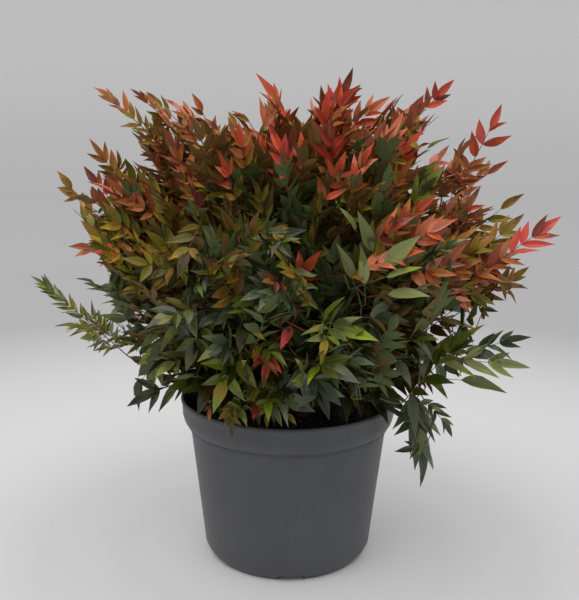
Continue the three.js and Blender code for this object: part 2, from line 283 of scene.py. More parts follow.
@dataclass(frozen=True)
class PotPlastic:
    """Dark grey thermoformed plastic, satin, a little dusty, with small scuffs and specks."""

    deep: Colour = (72, 73, 76)
    dusty: Colour = (84, 85, 87)
    speck: Colour = (128, 128, 126)
    stretch: float = 0.12
    cloud_scale: float = 14.0
    drawn_scale: float = 160.0
    grain_scale: float = 1400.0
    speck_scale: float = 75.0
    relief_depth: float = 0.06 * MM

    def material(self) -> Material:
        """Makes the material."""
        shader = Shader("pot_plastic")
        place = shader.place()
        upright = shader.place((1.0, 1.0, self.stretch))
        cloud = shader.noise(place, self.cloud_scale)
        drawn_out = shader.noise(upright, self.drawn_scale, 3.0)
        streaks = shader.math("MULTIPLY", drawn_out, 0.45)
        tone = shader.math("ADD", streaks, shader.math("MULTIPLY", cloud, 0.55))
        base = shader.ramp(tone, [(0.36, self.deep), (0.66, self.dusty)])
        cells = shader.node("ShaderNodeTexVoronoi", {"Scale": self.speck_scale, "Randomness": 1.0})
        shader.link(place, cells.inputs["Vector"])
        dot = shader.span(cells.outputs["Distance"], (0.035, 0.06), (1.0, 0.0))
        chosen = shader.span(shader.noise(place, 23.0, 2.0), (0.6, 0.64), (0.0, 1.0))
        blend = shader.node("ShaderNodeMix", data_type="RGBA")
        shader.link(shader.math("MULTIPLY", dot, chosen), blend.inputs["Factor"])
        shader.link(base, blend.inputs["A"])
        blend.inputs["B"].default_value = linear_colour(self.speck)
        shader.colour(blend.outputs["Result"])
        shader.roughness(tone, (0.4, 0.56))
        grain = shader.math("MULTIPLY", shader.noise(place, self.grain_scale, 2.0), 0.3)
        shader.relief(shader.math("ADD", grain, drawn_out), self.relief_depth, 0.5)
        return shader.material


@dataclass(frozen=True)
class TwoTone:
    """Finish that runs from one colour to another with a noise: potting mix, or bark with furrows."""

    name: str
    low: tuple[float, Colour]
    high: tuple[float, Colour]
    scale: float
    detail: float
    rough: float
    gloss: tuple[float, float]
    relief_depth: float
    stretch: float = 1.0

    def material(self) -> Material:
        """Makes the material."""
        shader = Shader(self.name)
        grain = shader.noise(shader.place((1.0, 1.0, self.stretch)), self.scale, self.detail, self.rough)
        shader.colour(shader.ramp(grain, [self.low, self.high]))
        shader.roughness(grain, self.gloss)
        shader.relief(grain, self.relief_depth)
        return shader.material


@dataclass(frozen=True)
class OneTone:
    """Finish in one plain colour with a fine grain: loose crumbs, or the skin of stems and stalks."""

    name: str
    tone: Colour
    scale: float = 1100.0
    detail: float = 3.0
    gloss: tuple[float, float] = (0.42, 0.6)
    relief_depth: float = 0.08 * MM
    strength: float = 0.6

    def material(self) -> Material:
        """Makes the material."""
        shader = Shader(self.name)
        shader.plain(self.tone)
        grain = shader.noise(shader.place(), self.scale, self.detail)
        shader.roughness(grain, self.gloss)
        shader.relief(grain, self.relief_depth, self.strength)
        return shader.material


CRUMB_GRAIN = (900.0, 4.0, (0.7, 0.95), 0.3 * MM, 1.0)
CRUMBS = (
    (OneTone("crumb_dark", (34, 25, 20), *CRUMB_GRAIN), 0.55),
    (OneTone("crumb_bark", (82, 56, 38), *CRUMB_GRAIN), 0.36),
    (OneTone("crumb_straw", (128, 104, 76), *CRUMB_GRAIN), 0.09),
)
MOIST_MIX = TwoTone(
    "potting_mix", (0.38, (26, 20, 16)), (0.72, (66, 50, 38)), 420.0, 6.0, 0.65, (0.95, 0.75), 1.2 * MM
)
CANE_BARK = TwoTone(
    "cane_bark", (0.35, (58, 40, 31)), (0.68, (128, 98, 76)), 900.0, 5.0, 0.6, (0.85, 0.65), 0.35 * MM, 0.14
)
BOUGH_SKIN = OneTone("bough_skin", (112, 66, 52))


class Family(Enum):
    """Families of leaf colour, by the record's material slot."""

    GREEN = "leaf_green"
    BRONZE = "leaf_bronze"
    RED = "leaf_red"


class Tint(Enum):
    """Base colours of the leaflets' upper faces: an 8-bit display colour and its family."""

    # Pale grey-green: partly the leaves' own blue-grey green, partly painted sheen, the glossy reflection
    # these leaves show.
    SLATE = ((102, 115, 80), Family.GREEN)
    BLUE_GREEN = ((58, 75, 42), Family.GREEN)
    DEEP_GREEN = ((61, 65, 20), Family.GREEN)
    LEAF_GREEN = ((92, 100, 25), Family.GREEN)
    FRESH_GREEN = ((110, 126, 26), Family.GREEN)
    PALE_GREEN = ((128, 136, 76), Family.GREEN)
    LIME = ((134, 132, 48), Family.GREEN)
    OLIVE = ((112, 104, 30), Family.BRONZE)
    OLIVE_YELLOW = ((144, 124, 40), Family.BRONZE)
    OLIVE_BRONZE = ((130, 98, 32), Family.BRONZE)
    COPPER = ((160, 107, 52), Family.BRONZE)
    MAROON = ((122, 58, 42), Family.RED)
    RUSSET = ((152, 88, 46), Family.RED)
    SCARLET = ((184, 78, 48), Family.RED)
    CORAL = ((188, 110, 76), Family.RED)
    CRIMSON = ((172, 64, 54), Family.RED)
    ROSE = ((196, 120, 100), Family.RED)


class Look(Enum):
    """Tints that a spray's leaflets are drawn from, each with its weight."""

    SHADE = ((Tint.DEEP_GREEN, 5), (Tint.BLUE_GREEN, 3), (Tint.LEAF_GREEN, 1))
    SLATE = ((Tint.SLATE, 3), (Tint.BLUE_GREEN, 3), (Tint.PALE_GREEN, 1))
    LEAFY = ((Tint.LEAF_GREEN, 4), (Tint.DEEP_GREEN, 2), (Tint.FRESH_GREEN, 2))
    FRESH = ((Tint.FRESH_GREEN, 4), (Tint.LIME, 1), (Tint.LEAF_GREEN, 2), (Tint.OLIVE_YELLOW, 1))
    PALE = ((Tint.PALE_GREEN, 4), (Tint.FRESH_GREEN, 1))
    STRAW = ((Tint.OLIVE_YELLOW, 4), (Tint.OLIVE, 1), (Tint.LIME, 2))
    OLIVE = ((Tint.OLIVE, 4), (Tint.OLIVE_YELLOW, 2), (Tint.LEAF_GREEN, 1), (Tint.OLIVE_BRONZE, 2))
    BRONZE = ((Tint.OLIVE_BRONZE, 5), (Tint.COPPER, 1), (Tint.OLIVE, 2))
    COPPER = ((Tint.COPPER, 4), (Tint.RUSSET, 2), (Tint.OLIVE_BRONZE, 1), (Tint.SCARLET, 1))
    RUSSET = ((Tint.RUSSET, 4), (Tint.MAROON, 2), (Tint.COPPER, 1))
    CORAL = ((Tint.CORAL, 4), (Tint.SCARLET, 2), (Tint.ROSE, 1), (Tint.COPPER, 1))
    ROSE = ((Tint.ROSE, 4), (Tint.CORAL, 3), (Tint.CRIMSON, 1))
    CRIMSON = ((Tint.CRIMSON, 5), (Tint.SCARLET, 2), (Tint.MAROON, 1))
    SCARLET = ((Tint.SCARLET, 4), (Tint.CORAL, 1), (Tint.COPPER, 1))
    MOSS = ((Tint.OLIVE, 2), (Tint.SLATE, 1), (Tint.PALE_GREEN, 1), (Tint.LEAF_GREEN, 1), (Tint.LIME, 1))

    def draw(self, rng: np.random.Generator) -> Tint:
        """One of the look's tints, by weight."""
        weights = np.array([weight for _, weight in self.value], float)
        return drawn(rng, self.value, weights)[0]

    @property
    def is_red(self) -> bool:
        """Whether the look's main tint belongs to the red family."""
        return self.value[0][0].value[1] is Family.RED

    @property
    def older(self) -> "Look":
        """Look of the lower leaflets of such a spray, which have turned less."""
        turned = {
            Look.CRIMSON: Look.RUSSET,
            Look.SCARLET: Look.BRONZE,
            Look.ROSE: Look.COPPER,
            Look.CORAL: Look.BRONZE,
            Look.RUSSET: Look.BRONZE,
            Look.COPPER: Look.BRONZE,
            Look.BRONZE: Look.OLIVE,
        }
        return turned.get(self, self)


# Painted light and shade: gains on each tint's colour, so that leaflets deep in the crown and low in front
# are painted darker, as shade, and those on top and at the sides lighter, as light.
PAINTED_LIGHT_GAINS = (0.3, 0.66, 1.1, 1.6)  # each tint is dealt out darker or lighter than it is
UNDERSIDES = {Family.GREEN: (94, 106, 62), Family.BRONZE: (120, 92, 50), Family.RED: (160, 92, 64)}
UNDER_GLOSS = (0.55, 0.7)
SHINE = {Family.GREEN: 0.6, Family.BRONZE: 0.26, Family.RED: 0.26}


@dataclass(frozen=True)
class LeafBlade:
    """Blade of a leaflet in one plain colour, satin, with a midrib and side veins in relief."""

    name: str
    tone: Colour
    # Factor on the colour; for upper faces it is a gain of painted light and shade.
    gain: float = 1.0
    gloss: tuple[float, float] = (0.28, 0.42)
    shine: float = 0.22
    vein_count: float = 9.0
    vein_slant: float = 0.55
    vein_share: float = 0.6
    relief_depth: float = 0.12 * MM
    cloud_scale: float = 160.0

    def material(self) -> Material:
        """Makes the material."""
        shader = Shader(self.name)
        shader.plain(self.tone, self.gain)
        shader.surface.inputs["Specular IOR Level"].default_value = self.shine
        coordinates = shader.node("ShaderNodeUVMap", uv_map=Leaflets.UV_NAME)
        parts = shader.node("ShaderNodeSeparateXYZ")
        shader.link(coordinates.outputs["UV"], parts.inputs["Vector"])
        aside = shader.math("ABSOLUTE", shader.math("SUBTRACT", parts.outputs["X"], 0.5))
        slant = shader.math("MULTIPLY", aside, self.vein_slant)
        slanted = shader.math("SUBTRACT", parts.outputs["Y"], slant)
        wave = shader.math("SINE", shader.math("MULTIPLY", slanted, self.vein_count * 2 * math.pi))
        veins = shader.math("MULTIPLY", shader.math("ABSOLUTE", wave), self.vein_share)
        midrib = shader.span(aside, (0.02, 0.07), (-1.0, 0.0))
        shader.relief(shader.math("ADD", veins, midrib), self.relief_depth, 0.7)
        shader.roughness(shader.noise(shader.place(), self.cloud_scale, 3.0), self.gloss)
        return shader.material


@cache
def upper_material(tint: Tint, shade: int) -> Material:
    """Material of a leaflet's upper face, by tint and by its gain of painted light and shade: one lit or
    shaded copy per gain.
    """
    tone, family = tint.value
    blade = LeafBlade(f"leaf_{tint.name.lower()}_{shade + 1}", tone, PAINTED_LIGHT_GAINS[shade], shine=SHINE[family])
    return blade.material()


@cache
def under_material(family: Family) -> Material:
    """Material of the paler underside of a family's leaflets."""
    return LeafBlade(f"{family.value}_underside", UNDERSIDES[family], gloss=UNDER_GLOSS).material()


# ---- making pieces


def into_scene(name: str, data: bpy.types.ID) -> Piece:
    """Puts a mesh, a lamp or a camera into the scene."""
    made = bpy.data.objects.new(name, data)
    bpy.context.scene.collection.objects.link(made)
    return made


def clear_selection() -> None:
    """Deselects every object."""
    for thing in bpy.context.selected_objects:
        thing.select_set(False)


def use(piece: Piece) -> None:
    """Makes a piece the only selected and the active object."""
    clear_selection()
    piece.select_set(True)
    bpy.context.view_layer.objects.active = piece


def settle(piece: Piece) -> None:
    """Moves a piece's place, turn and scale into its mesh."""
    use(piece)
    bpy.ops.object.transform_apply(location=True, rotation=True, scale=True)


def round_edges(piece: Piece, width: float, segments: int) -> None:
    """Bevels a piece's sharp edges to a width, in so many steps."""
    use(piece)
    bevel = piece.modifiers.new("rounding", "BEVEL")
    bevel.width = width
    bevel.segments = segments
    bevel.limit_method = "ANGLE"
    bpy.ops.object.modifier_apply(modifier=bevel.name)


def cut(piece: Piece, cutter: Piece) -> None:
    """Takes a cutter's body out of a piece, and removes the cutter."""
    use(piece)
    taken = piece.modifiers.new("cut", "BOOLEAN")
    taken.operation = "DIFFERENCE"
    taken.solver = "EXACT"
    taken.object = cutter
    bpy.ops.object.modifier_apply(modifier=taken.name)
    bpy.data.objects.remove(cutter)


def open_turned(name: str, segments: int, rings: Rings) -> Piece:
    """Extrudes a round body ring by ring.

    Args:
        name: Name of the piece.
        segments: Number of sides.
        rings: Height and radius of each ring, from the round face that the body starts with.

    Returns:
        The piece in edit mode, with the last ring's face selected.
    """
    height, radius = rings[0]
    clear_selection()
    place = (0, 0, height)
    bpy.ops.mesh.primitive_circle_add(vertices=segments, radius=radius, fill_type="NGON", location=place)
    piece = bpy.context.object
    piece.name = piece.data.name = name
    bpy.ops.object.mode_set(mode="EDIT")
    bpy.ops.mesh.select_all(action="SELECT")
    for (low, last_radius), (high, radius) in zip(rings[:-1], rings[1:]):
        rise = (0.0, 0.0, high - low)
        bpy.ops.mesh.extrude_region_move(TRANSFORM_OT_translate={"value": rise})
        factor = radius / last_radius
        bpy.ops.transform.resize(value=(factor, factor, 1.0), center_override=(0.0, 0.0, high))
    return piece


def close_turned(piece: Piece) -> None:
    """Turns the faces of a body in edit mode outwards and ends its editing."""
    bpy.ops.mesh.select_all(action="SELECT")
    bpy.ops.mesh.normals_make_consistent(inside=False)
    bpy.ops.object.mode_set(mode="OBJECT")
    settle(piece)


def finish_piece(piece: Piece, materials: list[Material], nodes: list[str]) -> Piece:
    """Dresses a piece and ties it to the frame.

    Args:
        piece: The piece, at the origin.
        materials: Its materials, in the order of its faces' indices.
        nodes: The CAD nodes that it stands for.

    Returns:
        The piece.
    """
    for material in materials:
        piece.data.materials.append(material)
    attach(piece, BODY)
    if nodes:
        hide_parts(*nodes)
    return piece


@dataclass
class MeshArrays:
    """Arrays of one joined piece, gathered batch by batch."""

    vertices: list[Array] = field(default_factory=list)
    triangles: list[Array] = field(default_factory=list)
    finishes: list[Array] = field(default_factory=list)
    blades: list[Array] = field(default_factory=list)
    count: int = 0

    def add(self, vertices: Array, triangles: Array, finishes: Array, blade: Array | None = None) -> None:
        """Adds a batch.

        Args:
            vertices: Its vertices, one row each.
            triangles: Its faces, as rows of three of its vertices.
            finishes: Material index of each face.
            blade: Each vertex's place across and along the leaf's blade, from 0 to 1.
        """
        self.vertices.append(vertices)
        self.triangles.append(triangles + self.count)
        self.finishes.append(finishes)
        if blade is not None:
            self.blades.append(blade)
        self.count += len(vertices)

    def build(self, name: str) -> Piece:
        """Makes the smooth-shaded object that holds every batch."""
        vertices = np.concatenate(self.vertices).astype(np.float32)
        triangles = np.concatenate(self.triangles).astype(np.int32)
        mesh = bpy.data.meshes.new(name)
        mesh.vertices.add(len(vertices))
        mesh.vertices.foreach_set("co", vertices.ravel())
        mesh.loops.add(triangles.size)
        mesh.loops.foreach_set("vertex_index", triangles.ravel())
        mesh.polygons.add(len(triangles))
        mesh.polygons.foreach_set("loop_start", np.arange(0, triangles.size, 3, dtype=np.int32))
        mesh.polygons.foreach_set("material_index", np.concatenate(self.finishes).astype(np.int32))
        mesh.polygons.foreach_set("use_smooth", np.ones(len(triangles), bool))
        if self.blades:
            layer = mesh.uv_layers.new(name=Leaflets.UV_NAME)
            blade = np.concatenate(self.blades).astype(np.float32)
            layer.uv.foreach_set("vector", blade[triangles.ravel()].ravel())
        mesh.update(calc_edges=True)
        return into_scene(name, mesh)


# ---- tubes


def tube_batch(lines: Array, radii: Array, sides: int, relief: Array | None = None) -> tuple[Array, Array]:
    """Closed tubes along lines of the same number of points.

    Args:
        lines: Points, as tubes x points x 3.
        radii: Radii, as tubes x points.
        sides: Sides of each tube.
        relief: Factor on the radius, as tubes x points x sides, or None for round tubes.

    Returns:
        Vertices and triangles.
    """
    tubes, steps = lines.shape[:2]
    tangents = np.empty_like(lines)
    tangents[:, 1:-1] = lines[:, 2:] - lines[:, :-2]
    tangents[:, 0] = lines[:, 1] - lines[:, 0]
    tangents[:, -1] = lines[:, -1] - lines[:, -2]
    tangents = unit(tangents)
    helper = np.where(np.abs(tangents[:, :1, 2:]) < 0.9, [[[0.0, 0.0, 1.0]]], [[[1.0, 0.0, 0.0]]])
    normals = np.empty_like(lines)
    normals[:, 0] = across(helper[:, 0], tangents[:, 0])
    for step in range(1, steps):
        normals[:, step] = across(normals[:, step - 1], tangents[:, step])
    sideways = np.cross(tangents, normals)
    angles = np.linspace(0, 2 * math.pi, sides, endpoint=False)
    reach = radii[:, :, None] * (relief if relief is not None else np.ones((1, 1, sides)))
    rings = (
        lines[:, :, None]
        + normals[:, :, None] * (reach * np.cos(angles))[..., None]
        + sideways[:, :, None] * (reach * np.sin(angles))[..., None]
    )
    skin = rings.reshape(tubes, steps * sides, 3)
    vertices = np.concatenate([skin, lines[:, :1], lines[:, -1:]], axis=1)
    here = np.arange(steps * sides).reshape(steps, sides)
    after = np.roll(here, -1, axis=1)
    first = np.full(sides, steps * sides)
    corners = (
        (here[:-1], after[:-1], after[1:]),
        (here[:-1], after[1:], here[1:]),
        (first, after[0], here[0]),
        (first + 1, here[-1], after[-1]),
    )
    template = np.concatenate([np.stack(part, -1).reshape(-1, 3) for part in corners])
    offsets = np.arange(tubes)[:, None, None] * vertices.shape[1]
    return vertices.reshape(-1, 3), (template[None] + offsets).reshape(-1, 3)


@dataclass
class Tubes:
    """Lines that become stems and stalks, grouped by how many points they have."""

    sides: int
    rows: dict[int, list[tuple[Array, Array, int]]] = field(default_factory=dict)

    def add(self, line: Array, thick: float, thin: float, finish: int) -> None:
        """Adds a line whose tube tapers from one radius to another, in one finish."""
        radii = np.linspace(thick, thin, len(line))
        self.rows.setdefault(len(line), []).append((line, radii, finish))

    def build(self, name: str) -> Piece:
        """Joins every tube into one object."""
        arrays = MeshArrays()
        for _, rows in sorted(self.rows.items()):
            lines, radii, finishes = (np.array(part) for part in zip(*rows))
            vertices, triangles = tube_batch(lines, radii, self.sides)
            arrays.add(vertices, triangles, np.repeat(finishes, len(triangles) // len(rows)))
        return arrays.build(name)


# ---- leaflets


@dataclass
class Leaflets:
    """Leaflets of one piece: where each grows, how it is turned and how it is shaped."""

    UV_NAME = "blade"
    STATIONS = (0.0, 0.09, 0.24, 0.42, 0.62, 0.82, 1.0)
    OUTLINE = (0.0, 0.52, 0.93, 1.0, 0.77, 0.37, 0.0)
    THICKNESS = 0.3 * MM
    RIPPLE = 0.12  # height of the edge's ripples, as a share of the half width
    RIPPLE_COUNT = 1.4
    VERTICES = 22
    TIP_START = 13  # first upper face that wears the tip's colour

    materials: list[Material]
    rows: list[tuple] = field(default_factory=list)
    finishes: list[tuple[int, int, int]] = field(default_factory=list)

    def add(self, row: tuple, upper: Material, tip: Material) -> None:
        """Adds a leaflet, whose underside wears the first material.

        Args:
            row: Base, axis and normal, then length, width, curl, fold, sway and ripple phase.
            upper: Material of its upper face.
            tip: Material of its upper face near the tip.
        """
        self.rows.append(row)
        self.finishes.append((self._place_of(upper), self._place_of(tip), 0))

    def _place_of(self, material: Material) -> int:
        """Index of a material among the piece's own, which it joins if it is new."""
        if material not in self.materials:
            self.materials.append(material)
        return self.materials.index(material)

    @classmethod
    def template(cls) -> tuple[Array, Array]:
        """Faces of one leaflet, and the part that each belongs to: 0 upper, 1 tip, 2 underside.

        Vertex 0 is the base and vertex 1 the tip. Each station between them has a left, middle, right
        and lower middle vertex.
        """
        inner = len(cls.STATIONS) - 2
        left, middle, right, lower = ([0, *(2 + part + 4 * np.arange(inner)), 1] for part in range(4))
        upper, under = [], []
        for a in range(inner + 1):
            b = a + 1
            for one, other in ((left, middle), (middle, right)):
                upper += [(one[a], other[a], other[b]), (one[a], other[b], one[b])]
            for one, other in ((left, lower), (lower, right)):
                under += [(one[a], one[b], other[b]), (one[a], other[b], other[a])]
        upper, under = ([face for face in side if len(set(face)) == 3] for side in (upper, under))
        counts = (cls.TIP_START, len(upper) - cls.TIP_START, len(under))
        return np.array(upper + under), np.repeat((0, 1, 2), counts)

    @classmethod
    def sharp_pairs(cls) -> Array:
        """Table of the vertex pairs of a leaflet whose edge is a crease: its rim and its midrib."""
        table = np.zeros((cls.VERTICES, cls.VERTICES), bool)
        for part in (0, 1, 2):
            chain = [0, *range(2 + part, cls.VERTICES, 4), 1]
            for a, b in zip(chain[:-1], chain[1:]):
                table[a, b] = table[b, a] = True
        return table

    def shape(self) -> tuple[Array, Array]:
        """Vertices of every leaflet and their places on the blade.

        Returns:
            Vertices as leaflets x 22 x 3, and blade places as leaflets x 22 x 2.
        """
        base, axis, normal = (np.array([row[k] for row in self.rows]) for k in range(3))
        facts = np.array([row[3:] for row in self.rows])
        length, width, curl, fold, sway, phase = (facts[:, k, None] for k in range(6))
        side = np.cross(axis, normal)
        along = np.array(self.STATIONS)[None]
        half = 0.5 * width * np.array(self.OUTLINE)[None]
        bend = along**2
        middle = (
            base[:, None]
            + axis[:, None] * (length * along)[..., None]
            - normal[:, None] * (length * curl * bend)[..., None]
            + side[:, None] * (length * sway * bend)[..., None]
        )
        ripple = self.RIPPLE * half * np.sin(2 * math.pi * self.RIPPLE_COUNT * along + phase)
        aside = side[:, None] * (half * np.cos(fold))[..., None]
        raised = normal[:, None] * (half * np.sin(fold))[..., None]
        waved = normal[:, None] * ripple[..., None]
        left = middle - aside + raised + waved
        right = middle + aside + raised - waved
        lower = middle - normal[:, None] * self.THICKNESS
        inner = slice(1, -1)
        stations = np.stack([left, middle, right, lower], axis=2)[:, inner]
        count = len(self.rows)
        ends = [middle[:, :1], middle[:, -1:]]
        vertices = np.concatenate([*ends, stations.reshape(count, -1, 3)], axis=1)
        outline = 0.5 * np.array(self.OUTLINE)
        blade = [(0.5, 0.0), (0.5, 1.0)]
        for place, spread in zip(self.STATIONS[inner], outline[inner]):
            blade += [(0.5 - spread, place), (0.5, place), (0.5 + spread, place), (0.5, place)]
        return vertices, np.broadcast_to(np.array(blade), (count, self.VERTICES, 2))

    def build(self, name: str) -> Piece:
        """Joins every leaflet into one object, creased at rims and midribs."""
        vertices, blade = self.shape()
        count = len(self.rows)
        faces, parts = self.template()
        offsets = np.arange(count)[:, None, None] * self.VERTICES
        finishes = np.array(self.finishes)[:, parts]
        triangles = (faces[None] + offsets).reshape(-1, 3)
        arrays = MeshArrays()
        arrays.add(vertices.reshape(-1, 3), triangles, finishes.ravel(), blade.reshape(-1, 2))
        piece = arrays.build(name)
        mesh = piece.data
        ends = np.empty(2 * len(mesh.edges), np.int32)
        mesh.edges.foreach_get("vertices", ends)
        ends = ends.reshape(-1, 2) % self.VERTICES
        crease = mesh.attributes.new("sharp_edge", "BOOLEAN", "EDGE")
        crease.data.foreach_set("value", self.sharp_pairs()[ends[:, 0], ends[:, 1]])
        return piece


# ---- pot and potting mix


@dataclass
class Pot:
    """Round nursery pot: rounded foot, tapered wall, crease, rim band, lip and drain notches.

    The tables of rings hold what a ring's height and radius add to a reference, in the unit named.
    """

    BODY_TOP_RINGS = ((-3.0, -0.1), (-1.0, 0.0))  # mm from the crease's height and the body's top radius
    CREASE_RINGS = ((-0.35, -0.9), (0.0, 0.1), (0.7, 0.75), (1.6, 0.55), (2.6, 0.35))  # mm from the crease
    BAND_RINGS = ((0.22, 0.36), (0.4, 0.64), (0.7, 0.86))  # shares of the way to the rim's straight part
    # Lip heights down from the top, and mm from the rim's radius.
    LIP_RINGS = ((2.2, -0.5), (1.9, -0.2), (1.6, 0.7), (1.1, 0.95), (0.6, 0.7), (0.25, 0.1), (0.06, -0.5))
    TESTED_SHARES = (0.0, 0.35, 0.7, 1.0)

    node: str = "pot"
    segments: int = 144
    height: float = 176 * MM
    rim_radius: float = 115 * MM
    rim_straight: float = 13 * MM
    rim_inset: float = 0.7 * MM
    lip: float = 2.6 * MM
    band_height: float = 32.2 * MM
    crease_radius: float = 107.8 * MM
    body_top_radius: float = 105.7 * MM
    body_bottom_radius: float = 90.9 * MM
    foot_radius: float = 82.7 * MM
    foot_height: float = 12 * MM
    foot_bow: float = 0.9 * MM
    foot_steps: int = 6
    wall: float = 1.8 * MM
    notch_count: int = 6
    notch_width: float = 27 * MM
    notch_height: float = 6.0 * MM
    notch_rounding: float = 2.4 * MM
    notch_turn: float = math.radians(3)
    notch_start: float = 74 * MM
    smooth_angle: float = math.radians(32)
    mix_height: float = 160 * MM
    inner_margin: float = 4 * MM
    outer_margin: float = 1.5 * MM

    @property
    def crease(self) -> float:
        """Height of the crease under the rim band."""
        return self.height - self.band_height

    def outer_profile(self) -> Rings:
        """Height and radius of each ring, from the underside's edge up to the lip."""
        crease = self.crease
        straight = self.height - self.rim_straight
        rings = [(0.0, self.foot_radius)]
        for share in np.arange(1, self.foot_steps + 1) / self.foot_steps:
            bow = math.sin(math.pi * share) * self.foot_bow
            radius = mix(self.foot_radius, self.body_bottom_radius, share) + bow
            rings.append((self.foot_height * share, radius))
        middle_radius = mix(self.body_bottom_radius, self.body_top_radius, 0.5)
        rings.append((mix(self.foot_height, crease, 0.5), middle_radius))
        rings += [(crease + up * MM, self.body_top_radius + out * MM) for up, out in self.BODY_TOP_RINGS]
        rings += [(crease + up * MM, self.crease_radius + out * MM) for up, out in self.CREASE_RINGS]
        for up, out in self.BAND_RINGS:
            rings.append((mix(crease, straight, up), mix(self.crease_radius, self.rim_radius, out)))
        rings.append((straight, self.rim_radius - self.rim_inset))
        rings += [(self.height - down * self.lip, self.rim_radius + out * MM) for down, out in self.LIP_RINGS]
        return rings

    def inner_profile(self) -> Rings:
        """Height and radius of each ring inside, from the lip down to the floor."""
        straight = self.height - self.rim_straight
        wall = self.wall
        return [
            (self.height, self.rim_radius - 0.5 * wall),
            (self.height - 0.2 * MM, self.rim_radius - 0.85 * wall),
            (self.height - 0.8 * MM, self.rim_radius - wall),
            (straight, self.rim_radius - wall),
            (mix(self.crease, straight, 0.4), mix(self.crease_radius, self.rim_radius, 0.7) - wall),
            (self.crease, self.body_top_radius - wall),
            (self.foot_height + wall, self.body_bottom_radius - wall),
            (wall, self.foot_radius - wall),
        ]

    def build(self, finish: PotPlastic) -> Piece:
        """Extrudes the pot ring by ring, cuts its notches and dresses it."""
        rings = self.outer_profile() + self.inner_profile()
        piece = open_turned("nursery_pot", self.segments, rings)
        close_turned(piece)
        for number in range(self.notch_count):
            turn = number * 2 * math.pi / self.notch_count
            self._cut_notch(piece, self.notch_turn - math.pi / 2 + turn)
        use(piece)
        bpy.ops.object.shade_smooth_by_angle(angle=self.smooth_angle)
        return finish_piece(piece, [finish.material()], [self.node])

    def _cut_notch(self, piece: Piece, angle: float) -> None:
        """Cuts one flat notch with rounded corners through the foot, in the direction of an angle."""
        length = self.rim_radius - self.notch_start
        middle = self.notch_start + length / 2
        clear_selection()
        bpy.ops.mesh.primitive_cube_add(
            size=1.0,
            location=(middle * math.cos(angle), middle * math.sin(angle), 0.0),
            rotation=(0.0, 0.0, angle),
            scale=(length, self.notch_width, 2 * self.notch_height),
        )
        cutter = bpy.context.object
        settle(cutter)
        round_edges(cutter, self.notch_rounding, 4)
        cut(piece, cutter)

    def meets(self, base: Array, run: Array) -> bool:
        """Whether a leaflet would go through the pot's wall or the potting mix.

        Args:
            base: Where it grows.
            run: Way from there to its tip.

        Returns:
            True if a point tested along it stands in the wall or the mix.
        """
        for share in self.TESTED_SHARES:
            point = base + run * share
            radius = math.hypot(point[0], point[1])
            if point[2] < self.mix_height and radius < self.rim_radius - self.inner_margin:
                return True
            if point[2] < self.height + MM:
                slope = (point[2] - self.foot_height) / (self.crease - self.foot_height)
                wall = mix(self.body_bottom_radius, self.body_top_radius, slope)
                outer = self.rim_radius if point[2] > self.crease else wall
                if outer - self.inner_margin < radius < outer + self.outer_margin:
                    return True
        return False


